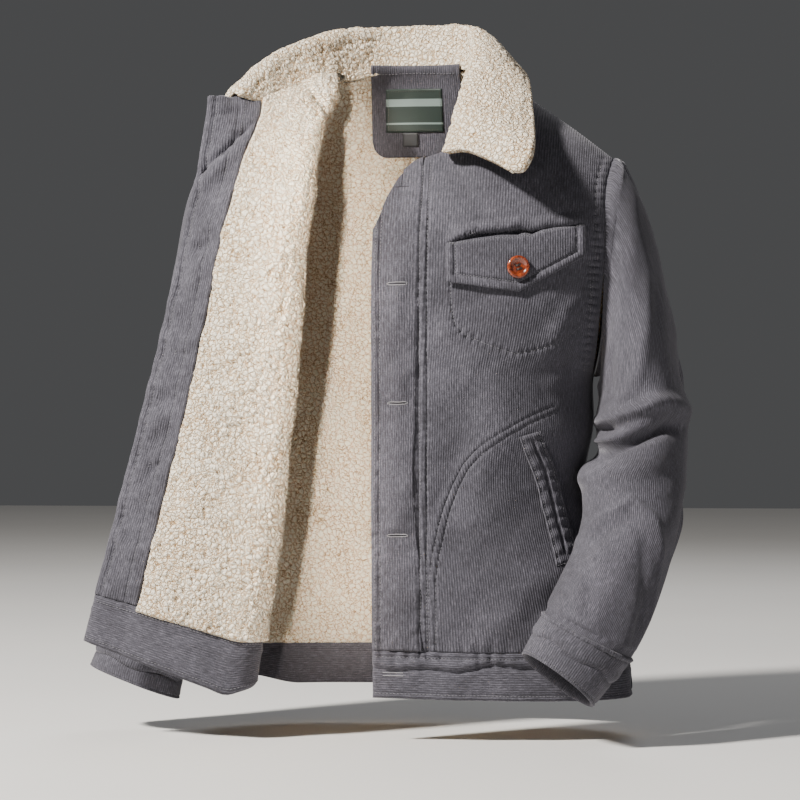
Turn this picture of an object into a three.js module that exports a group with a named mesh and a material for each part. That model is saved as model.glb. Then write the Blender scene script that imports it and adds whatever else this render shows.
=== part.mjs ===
// Sherpa lined jacket, filled out as worn, with the right front turned back to show its lining.
// Millimetres, +Z up. The front faces -Y and the wearer's left is +X.
// The origin is the middle of the back neck seam.
import * as THREE from 'three';

// Driving sizes
const SEAM_GAP = 0.3;
const SHELL_THICKNESS = 2.0;
const LINING_THICKNESS = 6.0;
const BAND_THICKNESS = 4.6;
const PATCH_THICKNESS = 1.6;
const LABEL_THICKNESS = 0.8;
const FLAP_THICKNESS = 2.6;
const PLACKET_THICKNESS = 1.5;
const NECK_HALF_WIDTH = 75;
const SHOULDER_HALF_WIDTH = 211;
const SIDE_SEAM_Y = -75;
const UNDERARM_Z = -330;
const SHELL_HEM_Z = -612;
const FRONT_EDGE_OVERLAP = 27;
const PLACKET_WIDTH = 50;
const FACING_WIDTH = 48;
const BAND_DEPTH = 48;
const BAND_SHARE = 0.096;
const BUTTON_RADIUS = 11.5;
const BUTTON_HEIGHT = 4.2;
const ROUND_SIDES = 2.4;
// Share of the panel height up to which the side seam runs; the armhole starts above it
const SIDE_SEAM_SHARE = 0.5594;
const SLEEVE_TURNS = 16;
const ARMHOLE_EASE = 3.4;
const UNDERARM_EASE = 9;
const SHERPA_COLLAR_THICKNESS = 7;
// Room kept at the panel rims, as shares of the panel height and width
const PANEL_RIM = 0.001;
const HEM_RIM = 0.0003;
const LINING_RIM = 0.004;
const LINING_TOP = 0.994;
const PLACKET_RIM = 0.0035;
const PATCH_TOP = 0.991;
const BAND_START = -0.0004;

const CORDUROY_GREY = 0x6b6a70;
const SHERPA_CREAM = 0xead9c2;
const LABEL_GREEN = 0x1f3a31;
const TAG_BLACK = 0x25262a;
const BUTTON_BROWN = 0x8b3f1d;

// Torso sections by height: half widths, and how far front and back reach
const BODY_SECTIONS = [
  { z: -680, left: 231, right: 209, front: -179, back: 24 },
  { z: -612, left: 226, right: 206, front: -182, back: 25 },
  { z: -540, left: 209, right: 200, front: -187, back: 27 },
  { z: -480, left: 190, right: 194, front: -189, back: 29 },
  { z: -430, left: 182, right: 190, front: -190, back: 32 },
  { z: -380, left: 190, right: 190, front: -190, back: 35 },
  { z: -330, left: 190, right: 190, front: -191, back: 38 },
  { z: -300, left: 201, right: 201, front: -192, back: 40 },
  { z: -252, left: 214, right: 214, front: -192, back: 42 },
  { z: -206, left: 222, right: 222, front: -190, back: 43 },
  { z: -133, left: 226, right: 226, front: -186, back: 42 },
  { z: 20, left: 228, right: 228, front: -180, back: 34 },
];

// Armhole seam: distance from the centre plane at each height
const ARMHOLE_ROWS = [
  { z: -330, x: 190 },
  { z: -316, x: 192.5 },
  { z: -300, x: 195 },
  { z: -252, x: 200 },
  { z: -206, x: 204 },
  { z: -140, x: 204.5 },
  { z: -105, x: 211 },
];

// Columns of the front and back grids along the shoulder, from the neck point to the sleeve head
const SHOULDER_SHARES = [0, 0.18, 0.37, 0.55, 0.7, 0.82, 0.92, 0.975, 1];
const BODY_ROWS = [0, 0.12, 0.21, 0.29, 0.37, 0.47, 0.5595, 0.62, 0.69, 0.76, 0.83, 0.89, 0.94, 0.975, 1];

// Right front, from hem (up 0) to neck (up 1): where it rolls back, and where its free edge lies
const RIGHT_FRONT_ROWS = [
  { up: -0.1, rollX: -142, rollRadius: 20, bow: 7, edgeX: -324, edgeY: -180, edgeZ: -602 },
  { up: 0, rollX: -136, rollRadius: 20, bow: 7, edgeX: -311.5, edgeY: -180, edgeZ: -552 },
  { up: 0.2, rollX: -120, rollRadius: 20, bow: 6, edgeX: -284.5, edgeY: -182, edgeZ: -451 },
  { up: 0.4, rollX: -106, rollRadius: 20, bow: 5, edgeX: -258, edgeY: -184, edgeZ: -350 },
  { up: 0.6, rollX: -95, rollRadius: 20, bow: 5, edgeX: -233.5, edgeY: -184, edgeZ: -249 },
  { up: 0.78, rollX: -89, rollRadius: 17, bow: 6, edgeX: -215, edgeY: -180, edgeZ: -158 },
  { up: 0.9, rollX: -83, rollRadius: 12, bow: 8, edgeX: -203, edgeY: -168, edgeZ: -98 },
  { up: 1, rollX: -73, rollRadius: 2, bow: 14, edgeX: -196, edgeY: -150, edgeZ: -47.5 },
];

// Sleeves: outer and inner point of each section, its middle depth and its half depth
const LEFT_SLEEVE_ROWS = [
  { outX: 222.5, outZ: -114, inX: 198.5, inZ: -331, y: -75, depth: 58 },
  { outX: 239, outZ: -148, inX: 199, inZ: -336, y: -79, depth: 64 },
  { outX: 255, outZ: -200, inX: 197.5, inZ: -343, y: -83, depth: 69 },
  { outX: 267, outZ: -252, inX: 197.5, inZ: -353, y: -87, depth: 71 },
  { outX: 276.5, outZ: -299, inX: 197, inZ: -364, y: -90, depth: 71 },
  { outX: 282, outZ: -330, inX: 197, inZ: -378, y: -94, depth: 70 },
  { outX: 286, outZ: -362, inX: 198, inZ: -391, y: -99, depth: 68 },
  { outX: 287, outZ: -396, inX: 198, inZ: -404, y: -108, depth: 65 },
  { outX: 285, outZ: -428, inX: 183, inZ: -428, y: -124, depth: 60 },
  { outX: 283, outZ: -455, inX: 182.5, inZ: -452, y: -140, depth: 57 },
  { outX: 279, outZ: -488, inX: 180, inZ: -483, y: -157, depth: 53 },
  { outX: 258, outZ: -552, inX: 169, inZ: -520, y: -184, depth: 46 },
  { outX: 241, outZ: -594, inX: 154, inZ: -553, y: -202, depth: 41 },
  { outX: 232.5, outZ: -609, inX: 148.5, inZ: -566, y: -207, depth: 38 },
  { outX: 193, outZ: -658, inX: 126, inZ: -608, y: -216, depth: 32 },
];
const RIGHT_SLEEVE_ROWS = [
  { outX: 220, outZ: -114, inX: 198.5, inZ: -331, y: -74, depth: 58 },
  { outX: 231, outZ: -145, inX: 199, inZ: -336, y: -76, depth: 64 },
  { outX: 241, outZ: -195, inX: 197.5, inZ: -343, y: -76, depth: 70 },
  { outX: 251, outZ: -245, inX: 197.5, inZ: -353, y: -77, depth: 73 },
  { outX: 259, outZ: -295, inX: 197, inZ: -366, y: -77, depth: 73 },
  { outX: 267, outZ: -345, inX: 197, inZ: -384, y: -78, depth: 72 },
  { outX: 276, outZ: -395, inX: 199, inZ: -417, y: -79, depth: 69 },
  { outX: 285, outZ: -437, inX: 205, inZ: -456, y: -80, depth: 64 },
  { outX: 294, outZ: -478, inX: 213, inZ: -497, y: -82, depth: 58 },
  { outX: 303, outZ: -522, inX: 221, inZ: -542, y: -84, depth: 52 },
  { outX: 312, outZ: -568, inX: 230, inZ: -592, y: -87, depth: 45 },
  { outX: 319, outZ: -598, inX: 236, inZ: -625, y: -89, depth: 41 },
  { outX: 334, outZ: -634, inX: 243, inZ: -668, y: -92, depth: 34 },
];
const CUFF_START = { left: 13, right: 11 };

// Sleeve folds: place along the sleeve in section numbers, side they are strongest on, height and width
const LEFT_SLEEVE_FOLDS = [
  { at: 1.1, side: 0.2, height: -3.5, width: 0.32, slant: 0.2 },
  { at: 6.0, side: 0.3, height: 5.0, width: 0.42, slant: 0.5 },
  { at: 7.1, side: 0.45, height: -6.5, width: 0.42, slant: 0.9 },
  { at: 8.2, side: 0.5, height: 5.0, width: 0.5, slant: -0.4 },
  { at: 9.8, side: 0.4, height: -4.5, width: 0.4, slant: -0.8 },
  { at: 11.2, side: 0.0, height: 3.0, width: 0.5, slant: 0.6 },
];
const RIGHT_SLEEVE_FOLDS = [
  { at: 1.2, side: 0.2, height: -3.0, width: 0.32, slant: 0.2 },
  { at: 5.2, side: 0.3, height: 4.0, width: 0.4, slant: 0.4 },
  { at: 6.1, side: 0.45, height: -5.0, width: 0.4, slant: 0.7 },
  { at: 7.2, side: 0.5, height: 4.0, width: 0.45, slant: -0.4 },
];

// Collar sections from its left end to its right end: seam, top of the roll, and outer edge of the fall
const COLLAR_ROWS = [
  { seamX: 42, seamY: -138, seamZ: -92.6, rollX: 35, rollY: -152, rollZ: -84, fallX: 113, fallY: -166, fallZ: -116 },
  { seamX: 56, seamY: -124, seamZ: -69.6, rollX: 44, rollY: -134, rollZ: -58, fallX: 121, fallY: -152, fallZ: -98 },
  { seamX: 65, seamY: -98, seamZ: -40.6, rollX: 54, rollY: -100, rollZ: -20, fallX: 126, fallY: -120, fallZ: -68 },
  { seamX: 70, seamY: -60, seamZ: -19.6, rollX: 60, rollY: -60, rollZ: 14, fallX: 124, fallY: -74, fallZ: -32 },
  { seamX: 70, seamY: -25, seamZ: -2.6, rollX: 62, rollY: -20, rollZ: 38, fallX: 112, fallY: -8, fallZ: -16 },
  { seamX: 50, seamY: -9, seamZ: 0.4, rollX: 44, rollY: 4, rollZ: 46, fallX: 78, fallY: 42, fallZ: -14 },
  { seamX: 22, seamY: 0, seamZ: 1.4, rollX: 20, rollY: 14, rollZ: 47, fallX: 30, fallY: 57, fallZ: -22 },
  { seamX: -10, seamY: 1, seamZ: 1.4, rollX: -14, rollY: 15, rollZ: 47, fallX: -24, fallY: 57, fallZ: -24 },
  { seamX: -40, seamY: -5, seamZ: 0.4, rollX: -45, rollY: 4, rollZ: 43, fallX: -72, fallY: 44, fallZ: -16 },
  { seamX: -69, seamY: -24, seamZ: -3.6, rollX: -76, rollY: -20, rollZ: 30, fallX: -114, fallY: 6, fallZ: -12 },
  { seamX: -86, seamY: -46, seamZ: -9.6, rollX: -100, rollY: -48, rollZ: 17, fallX: -144, fallY: -36, fallZ: -18 },
  { seamX: -114, seamY: -81, seamZ: -14.6, rollX: -136, rollY: -86, rollZ: 4, fallX: -170, fallY: -78, fallZ: -28 },
  { seamX: -148, seamY: -116, seamZ: -23.6, rollX: -176, rollY: -124, rollZ: -13, fallX: -196, fallY: -118, fallZ: -30 },
];

// Chest flap: top edge, side ends and the point, in X and Z on the left front
const FLAP = { innerX: 48.5, outerX: 183, innerTopZ: -192, outerTopZ: -175,
  innerLowZ: -234.5, pointX: 123, pointZ: -244, outerLowZ: -210 };
const FLAP_BUTTON = { x: 118, z: -222.5 };
const WELT = { topX: 130, topZ: -389, lowX: 165, lowZ: -520, halfWidth: 10.5 };
const BUTTONHOLE_HEIGHTS = [-117.5, -239, -358, -490.5];
const BAND_BUTTON_HEIGHT = -631;
const NECK_PATCH = { halfWidth: 50.5, depth: 92, corner: 16 };
const LABEL = { left: -35, right: 28, top: -19, bottom: -65 };
const SIZE_TAG = { left: -16.5, right: 0, top: -66.5, bottom: -80 };

const jacket = new THREE.Group();
const materials = {
  corduroy: { color: CORDUROY_GREY, roughness: 0.92, metalness: 0 },
  sherpa: { color: SHERPA_CREAM, roughness: 0.97, metalness: 0 },
  label: { color: LABEL_GREEN, roughness: 0.7, metalness: 0 },
  tag: { color: TAG_BLACK, roughness: 0.75, metalness: 0 },
  button: { color: BUTTON_BROWN, roughness: 0.28, metalness: 0 },
};

// Value of a column of a table at a place between its rows, as a smooth curve through the rows
function readColumn(rows, placeName, valueName, place) {
  const last = rows.length - 1;
  let index = 0;
  while (index < last - 1 && place > rows[index + 1][placeName]) {
    index += 1;
  }
  const here = rows[index];
  const next = rows[index + 1];
  const before = rows[Math.max(0, index - 1)];
  const after = rows[Math.min(last, index + 2)];
  const span = next[placeName] - here[placeName];
  const share = (place - here[placeName]) / span;
  const slopeHere = (next[valueName] - before[valueName]) / (next[placeName] - before[placeName]);
  const slopeNext = (after[valueName] - here[valueName]) / (after[placeName] - here[placeName]);
  const s2 = share * share;
  const s3 = s2 * share;
  return here[valueName] * (2 * s3 - 3 * s2 + 1)
    + slopeHere * span * (s3 - 2 * s2 + share)
    + next[valueName] * (3 * s2 - 2 * s3)
    + slopeNext * span * (s3 - s2);
}

function mix(a, b, share) {
  return a + (b - a) * share;
}

function range(start, end, steps) {
  return Array.from({ length: steps + 1 }, (_, i) => mix(start, end, i / steps));
}

function ease(share) {
  const s = Math.min(1, Math.max(0, share));
  return s * s * (3 - 2 * s);
}

// The shoulder line, from the neck out to the sleeve head
function shoulderZ(x) {
  const out = Math.abs(x);
  if (out < NECK_HALF_WIDTH) {
    return -8 * (out / NECK_HALF_WIDTH) ** 2;
  }
  const past = out - NECK_HALF_WIDTH;
  return -8 - 0.62 * past - 0.0007 * past * past;
}

function shoulderY(x) {
  const out = Math.abs(x);
  if (out < NECK_HALF_WIDTH) {
    return -25 * (out / NECK_HALF_WIDTH) ** 2;
  }
  return -25 - 35 * (out - NECK_HALF_WIDTH) / (SHOULDER_HALF_WIDTH - NECK_HALF_WIDTH);
}

function halfWidth(z, side) {
  return readColumn(BODY_SECTIONS, 'z', side > 0 ? 'left' : 'right', z);
}

// Depth of the torso's front or back at X and Z: a rounded section that closes along the shoulder
function bodyY(x, z, face) {
  const out = Math.min(Math.abs(x) / halfWidth(z, x), 1);
  const roundness = (1 - out ** ROUND_SIDES) ** (1 / ROUND_SIDES);
  const reach = readColumn(BODY_SECTIONS, 'z', face, z);
  const full = SIDE_SEAM_Y + (reach - SIDE_SEAM_Y) * roundness;
  const below = Math.max(0, shoulderZ(x) - z);
  const outShare = Math.min(1, Math.abs(x) / SHOULDER_HALF_WIDTH);
  const fullAt = face === 'front' ? mix(250, 120, outShare) : mix(190, 120, outShare);
  const power = 0.9 - 0.35 * Math.min(1, Math.abs(x) / 90);
  const rise = Math.sin(Math.min(1, below / fullAt) * Math.PI / 2) ** power;
  return mix(shoulderY(x), full, rise);
}

function sideX(z, side) {
  if (z <= UNDERARM_Z) {
    return halfWidth(z, side);
  }
  return readColumn(ARMHOLE_ROWS, 'z', 'x', z);
}

// Neckline of the left front: height of its top edge at X
function neckTopZ(x) {
  if (x >= NECK_HALF_WIDTH) {
    return shoulderZ(x);
  }
  const inward = Math.min(1, (NECK_HALF_WIDTH - x) / (NECK_HALF_WIDTH + FRONT_EDGE_OVERLAP));
  const dip = -8 - 118 * Math.sqrt(1 - (1 - Math.min(1, inward * 1.15)) ** 2.2);
  const corner = ease((8 - x) / (8 + FRONT_EDGE_OVERLAP));
  return dip - 40 * corner;
}

// Height at a share of the way up a panel; below the hem line, the band hangs straight down
function panelZ(hemZ, topZ, up) {
  return up < 0 ? hemZ + BAND_DEPTH * up / BAND_SHARE : mix(hemZ, topZ, up);
}

// Left front: across runs 0 at the front edge to 1 at the side, up runs 0 at the hem to 1 at the top
function leftFrontPoint(across, up) {
  const sideZ = panelZ(SHELL_HEM_Z, shoulderZ(SHOULDER_HALF_WIDTH), up);
  const edgeX = -FRONT_EDGE_OVERLAP;
  const topX = mix(edgeX, SHOULDER_HALF_WIDTH, across);
  const hemZ = mix(SHELL_HEM_Z + 5, SHELL_HEM_Z, across);
  const z = panelZ(hemZ, neckTopZ(topX), up);
  const x = mix(edgeX, sideX(sideZ, 1), across);
  const y = across >= 1 && up < SIDE_SEAM_SHARE ? SIDE_SEAM_Y : bodyY(x, z, 'front');
  return new THREE.Vector3(x, y, z);
}

// Back: across runs -1 at the right side to 1 at the left side
function backPoint(across, up) {
  const side = across < 0 ? -1 : 1;
  const out = Math.abs(across);
  const sideZ = panelZ(SHELL_HEM_Z, shoulderZ(SHOULDER_HALF_WIDTH), up);
  const z = panelZ(SHELL_HEM_Z, shoulderZ(out * SHOULDER_HALF_WIDTH), up);
  const x = side * sideX(sideZ, side) * out;
  const y = out >= 1 && up < SIDE_SEAM_SHARE ? SIDE_SEAM_Y : bodyY(x, z, 'back');
  return new THREE.Vector3(x, y, z);
}

// Right front at one height: a curve from the side seam over the roll to the free edge
const rightRowCache = new Map();
function rightFrontRow(up) {
  const key = up.toFixed(5);
  if (rightRowCache.has(key)) {
    return rightRowCache.get(key);
  }
  const sideZ = panelZ(SHELL_HEM_Z, shoulderZ(SHOULDER_HALF_WIDTH), up);
  const startX = -sideX(sideZ, -1);
  const radius = readColumn(RIGHT_FRONT_ROWS, 'up', 'rollRadius', up);
  const rollX = readColumn(RIGHT_FRONT_ROWS, 'up', 'rollX', up);
  const bowDepth = readColumn(RIGHT_FRONT_ROWS, 'up', 'bow', up);
  const edge = new THREE.Vector3(
    readColumn(RIGHT_FRONT_ROWS, 'up', 'edgeX', up),
    readColumn(RIGHT_FRONT_ROWS, 'up', 'edgeY', up),
    readColumn(RIGHT_FRONT_ROWS, 'up', 'edgeZ', up),
  );
  const turnX = rollX - radius;
  const points = [];
  const steps = 12;
  for (let i = 0; i <= steps; i += 1) {
    const x = mix(startX, turnX, Math.sin(i / steps * Math.PI / 2) ** 1.35);
    const fromSide = (x - startX) / (turnX - startX);
    const hemZ = mix(SHELL_HEM_Z, SHELL_HEM_Z + 15, fromSide);
    const z = panelZ(hemZ, shoulderZ(x), up);
    const base = i === 0 && up < SIDE_SEAM_SHARE ? SIDE_SEAM_Y : bodyY(x, z, 'front');
    points.push(new THREE.Vector3(x, base, z));
  }
  const turn = points[points.length - 1];
  for (let i = 1; i <= 5; i += 1) {
    const angle = Math.PI * i / 5;
    points.push(new THREE.Vector3(
      turnX + radius * Math.sin(angle),
      turn.y - radius * (1 - Math.cos(angle)),
      turn.z + (edge.z - turn.z) * 0.02 * i,
    ));
  }
  const flatStart = points[points.length - 1].clone();
  for (let i = 1; i <= 8; i += 1) {
    const share = i / 8;
    const point = flatStart.clone().lerp(edge, share);
    const bow = Math.sin(Math.PI * share);
    point.y -= bowDepth * bow;
    point.z += 6 * bow * ease((up - 0.85) / 0.15);
    points.push(point);
  }
  const curve = new THREE.CatmullRomCurve3(points, false, 'centripetal');
  curve.arcLengthDivisions = 400;
  const row = { curve, length: curve.getLength() };
  rightRowCache.set(key, row);
  return row;
}

function rightFrontFromEdge(distance, up) {
  const row = rightFrontRow(up);
  return row.curve.getPointAt(Math.max(0, 1 - distance / row.length));
}

// Unit normal of a surface given as a function of two values, pointing to the chosen side
function normalOf(surface, u, v, turn) {
  const step = 0.002;
  const alongU = surface(u + step, v).sub(surface(u - step, v));
  const alongV = surface(u, v + step).sub(surface(u, v - step));
  return alongU.cross(alongV).normalize().multiplyScalar(turn);
}

// Closed body from two grids of points of one size, joined along their rims
function closeGrids(outer, inner, wraps) {
  const rows = outer.length;
  const columns = outer[0].length;
  const positions = [];
  for (const grid of [outer, inner]) {
    for (const row of grid) {
      for (const point of row) {
        positions.push(point.x, point.y, point.z);
      }
    }
  }
  const innerStart = rows * columns;
  const indices = [];
  const at = (layer, row, column) => layer * innerStart + row * columns + (column % columns);
  const lastColumn = wraps ? columns : columns - 1;
  const quad = (a, b, c, d) => {
    indices.push(a, b, c);
    indices.push(a, c, d);
  };
  for (let row = 0; row < rows - 1; row += 1) {
    for (let column = 0; column < lastColumn; column += 1) {
      quad(at(0, row, column), at(0, row, column + 1), at(0, row + 1, column + 1), at(0, row + 1, column));
      quad(at(1, row, column), at(1, row + 1, column), at(1, row + 1, column + 1), at(1, row, column + 1));
    }
  }
  for (let column = 0; column < lastColumn; column += 1) {
    quad(at(0, 0, column), at(1, 0, column), at(1, 0, column + 1), at(0, 0, column + 1));
    const top = rows - 1;
    quad(at(0, top, column), at(0, top, column + 1), at(1, top, column + 1), at(1, top, column));
  }
  if (!wraps) {
    for (let row = 0; row < rows - 1; row += 1) {
      quad(at(0, row, 0), at(0, row + 1, 0), at(1, row + 1, 0), at(1, row, 0));
      const end = columns - 1;
      quad(at(0, row, end), at(1, row, end), at(1, row + 1, end), at(0, row + 1, end));
    }
  }
  let volume = 0;
  for (let i = 0; i < indices.length; i += 3) {
    const [a, b, c] = [0, 1, 2].map((k) => new THREE.Vector3().fromArray(positions, indices[i + k] * 3));
    volume += a.dot(b.cross(c));
  }
  if (volume < 0) {
    indices.reverse();
  }
  const geometry = new THREE.BufferGeometry();
  geometry.setAttribute('position', new THREE.Float32BufferAttribute(positions, 3));
  geometry.setIndex(indices);
  geometry.computeVertexNormals();
  return geometry;
}

function addMesh(name, geometry, finish) {
  const mesh = new THREE.Mesh(geometry, new THREE.MeshStandardMaterial(materials[finish]));
  mesh.name = name;
  jacket.add(mesh);
  return mesh;
}

// A lattice holds a surface's points and normals at its columns and rows. Every wall on one panel
// is read from the same lattice, so that cloth, lining and patches stay parallel.
function makeLattice(surface, us, vs, turn, ridge) {
  const points = vs.map((v) => us.map((u) => surface(u, v)));
  const normals = vs.map((v, row) => us.map((u, column) => {
    const inU = Math.min(us[us.length - 1] - 0.002, Math.max(us[0] + 0.002, u));
    const inV = Math.min(vs[vs.length - 1] - 0.002, Math.max(vs[0] + 0.002, v));
    const normal = normalOf(surface, inU, inV, turn);
    if (ridge) {
      ridge(normal, points[row][column], v, u);
    }
    return normal;
  }));
  return { us, vs, points, normals };
}

function findCell(list, value) {
  let index = 0;
  while (index < list.length - 2 && value > list[index + 1]) {
    index += 1;
  }
  return { index, share: (value - list[index]) / (list[index + 1] - list[index]) };
}

function latticePoint(lattice, u, v, distance) {
  const column = findCell(lattice.us, u);
  const row = findCell(lattice.vs, v);
  const corner = (r, c) => lattice.points[r][c].clone().addScaledVector(lattice.normals[r][c], distance);
  const low = corner(row.index, column.index).lerp(corner(row.index, column.index + 1), column.share);
  const high = corner(row.index + 1, column.index).lerp(corner(row.index + 1, column.index + 1), column.share);
  return low.lerp(high, row.share);
}

// The lattice's own lines between two values, with the two values as the ends
function linesBetween(list, start, end) {
  const margin = 1e-4;
  return [start, ...list.filter((value) => value > start + margin && value < end - margin), end];
}

function latticeWall(lattice, [uStart, uEnd], [vStart, vEnd], from, to, lowTrim) {
  const us = linesBetween(lattice.us, uStart, uEnd);
  const vs = linesBetween(lattice.vs, vStart, vEnd);
  const grid = (distance) => vs.map((v, row) => us.map((u, column) => {
    const trim = lowTrim && row === 0 ? lowTrim[column] ?? 0 : 0;
    return latticePoint(lattice, u, v + trim, distance);
  }));
  return closeGrids(grid(to), grid(from), false);
}

// Along the shoulder seam, front and back share one upward normal, so their walls meet squarely
function shoulderRidge(normal, point, up) {
  if (up > 0.98 && Math.abs(point.x) > NECK_HALF_WIDTH - 2) {
    normal.set(Math.sign(point.x) * 0.53, 0, 0.85).normalize();
  }
}

const PLACKET_COLUMN = 2;
const placketShare = PLACKET_WIDTH / (NECK_HALF_WIDTH + FRONT_EDGE_OVERLAP);
const neckShares = [0, placketShare * 0.5, placketShare, 0.72, 0.88, 0.965];
const shoulderXs = SHOULDER_SHARES.map((share) => mix(NECK_HALF_WIDTH, SHOULDER_HALF_WIDTH, share));
const leftSpan = SHOULDER_HALF_WIDTH + FRONT_EDGE_OVERLAP;
const leftColumns = [
  ...neckShares.map((share) => share * (NECK_HALF_WIDTH + FRONT_EDGE_OVERLAP) / leftSpan),
  ...shoulderXs.map((x) => (x + FRONT_EDGE_OVERLAP) / leftSpan),
];
const backHalf = [0, 0.12, 0.24, ...shoulderXs.map((x) => x / SHOULDER_HALF_WIDTH)];
const backColumns = [...backHalf.slice(1).reverse().map((share) => -share), ...backHalf];

const shellFrom = SEAM_GAP / 2;
const shellTo = shellFrom + SHELL_THICKNESS;
const liningFrom = -SEAM_GAP * 2.2;
const liningTo = liningFrom - LINING_THICKNESS;
const onShell = shellTo + SEAM_GAP;
const seamShare = 0.00012;
const liningShare = 0.0006;
const panelRows = [HEM_RIM, 1 - PANEL_RIM];
const liningRows = [LINING_RIM, LINING_TOP];

const leftLattice = makeLattice(leftFrontPoint, leftColumns, BODY_ROWS, 1, shoulderRidge);
const backLattice = makeLattice(backPoint, backColumns, BODY_ROWS, -1, shoulderRidge);

// Outer cloth, lining and facing of the left front
function addLeftFront() {
  const seamColumn = leftColumns[PLACKET_COLUMN];
  addMesh('left_front_shell',
    latticeWall(leftLattice, [0, 1 - seamShare], panelRows, shellFrom, shellTo), 'corduroy');
  addMesh('left_front_lining',
    latticeWall(leftLattice, [seamColumn + PANEL_RIM, 1 - liningShare], liningRows, liningTo, liningFrom),
    'sherpa');
  const facingTo = liningFrom - SHELL_THICKNESS;
  addMesh('left_facing',
    latticeWall(leftLattice, [0, seamColumn - PANEL_RIM], panelRows, facingTo, liningFrom), 'corduroy');
}

function addBack() {
  const across = [-1 + seamShare, 1 - seamShare];
  addMesh('back_shell', latticeWall(backLattice, across, panelRows, shellFrom, shellTo), 'corduroy');
  const inside = [-1 + liningShare, 1 - liningShare];
  addMesh('back_lining', latticeWall(backLattice, inside, liningRows, liningTo, liningFrom), 'sherpa');
}

// Right front, turned back. Columns are counted from the side: the sherpa's first, then the facing's
const RIGHT_SHARES = [0, 0.06, 0.12, 0.19, 0.26, 0.33, 0.4, 0.46, 0.51, 0.55, 0.59, 0.63, 0.68, 0.75, 0.87, 1];
const RIGHT_FACING_SHARES = [0.66, 0.33, 0.01];
const facingColumn = RIGHT_SHARES.length - 1;
const lastRightColumn = facingColumn + RIGHT_FACING_SHARES.length;
const rightColumns = range(0, lastRightColumn, lastRightColumn);

function rightShareAt(column, length) {
  const facingStart = 1 - FACING_WIDTH / length;
  if (column <= facingColumn) {
    const cell = Math.min(facingColumn - 1, Math.max(0, Math.floor(column)));
    return facingStart * mix(RIGHT_SHARES[cell], RIGHT_SHARES[cell + 1], column - cell);
  }
  const facing = [1, ...RIGHT_FACING_SHARES];
  const past = column - facingColumn;
  const cell = Math.min(RIGHT_FACING_SHARES.length - 1, Math.floor(past));
  return 1 - FACING_WIDTH / length * mix(facing[cell], facing[cell + 1], past - cell);
}

function rightLatticePoint(column, up) {
  const row = rightFrontRow(up);
  return row.curve.getPointAt(Math.min(1, Math.max(0, rightShareAt(column, row.length))));
}

const LAST_SHOULDER_COLUMN = 9;

function rightRidge(normal, point, up, column) {
  if (column <= LAST_SHOULDER_COLUMN) {
    shoulderRidge(normal, point, up);
  }
}

const rightLattice = makeLattice(rightLatticePoint, rightColumns, BODY_ROWS, 1, rightRidge);

function addRightFront() {
  const end = lastRightColumn;
  const facingTo = liningFrom - SHELL_THICKNESS;
  addMesh('right_front_shell',
    latticeWall(rightLattice, [0.01, end], panelRows, shellFrom, shellTo), 'corduroy');
  addMesh('right_front_lining',
    latticeWall(rightLattice, [0.03, facingColumn - 0.01], liningRows, liningTo, liningFrom), 'sherpa');
  addMesh('right_facing',
    latticeWall(rightLattice, [facingColumn + 0.01, end], panelRows, facingTo, liningFrom), 'corduroy');
}

// Hem bands carry on below the panels
function addHemBands() {
  const rows = [-BAND_SHARE, -BAND_SHARE * 0.5, BAND_START];
  const span = [rows[0], rows[2]];
  const bandFrom = shellTo - BAND_THICKNESS;
  const bandTo = shellTo + 0.6;
  const left = makeLattice(leftFrontPoint, leftColumns, rows, 1);
  const back = makeLattice(backPoint, backColumns, rows, -1);
  const right = makeLattice(rightLatticePoint, rightColumns, rows, 1);
  addMesh('left_hem_band',
    latticeWall(left, [0, 1 - seamShare], span, bandFrom, bandTo), 'corduroy');
  addMesh('back_hem_band',
    latticeWall(back, [-1 + seamShare, 1 - seamShare], span, bandFrom, bandTo), 'corduroy');
  addMesh('right_hem_band',
    latticeWall(right, [0.025, lastRightColumn], span, bandFrom, bandTo), 'corduroy');
}

// Sleeve sections round the arm: 0 is the outer side, a quarter turn is the front
function sleeveColumn(rows, name, place) {
  const index = Math.min(rows.length - 2, Math.max(0, Math.floor(place)));
  const share = place - index;
  const at = (k) => rows[Math.min(rows.length - 1, Math.max(0, k))][name];
  const [before, here, next, after] = [at(index - 1), at(index), at(index + 1), at(index + 2)];
  const a = (next - before) / 2;
  const b = (after - here) / 2;
  const s2 = share * share;
  const s3 = s2 * share;
  return here * (2 * s3 - 3 * s2 + 1) + a * (s3 - 2 * s2 + share) + next * (3 * s2 - 2 * s3) + b * (s3 - s2);
}

function sleevePoint(rows, folds, side, place, turn) {
  const out = new THREE.Vector2(sleeveColumn(rows, 'outX', place), sleeveColumn(rows, 'outZ', place));
  const inn = new THREE.Vector2(sleeveColumn(rows, 'inX', place), sleeveColumn(rows, 'inZ', place));
  const depth = sleeveColumn(rows, 'depth', place);
  const middleY = sleeveColumn(rows, 'y', place);
  const angle = turn * Math.PI * 2;
  let swell = 0;
  for (const fold of folds) {
    const toward = Math.cos(angle - fold.side * Math.PI);
    const centre = fold.at + fold.slant * (Math.cos(angle) * 0.5);
    const away = (place - centre) / fold.width;
    swell += fold.height * (0.55 + 0.45 * toward) * Math.exp(-away * away);
  }
  const width = out.distanceTo(inn) / 2;
  const grow = 1 + swell / width;
  const c = Math.cos(angle) * 0.5 * grow;
  const x = (out.x + inn.x) / 2 + (out.x - inn.x) * c;
  const z = (out.y + inn.y) / 2 + (out.y - inn.y) * c;
  const y = middleY - depth * Math.sin(angle) * (1 + swell / depth);
  return new THREE.Vector3(side * x, y, z);
}

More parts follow.
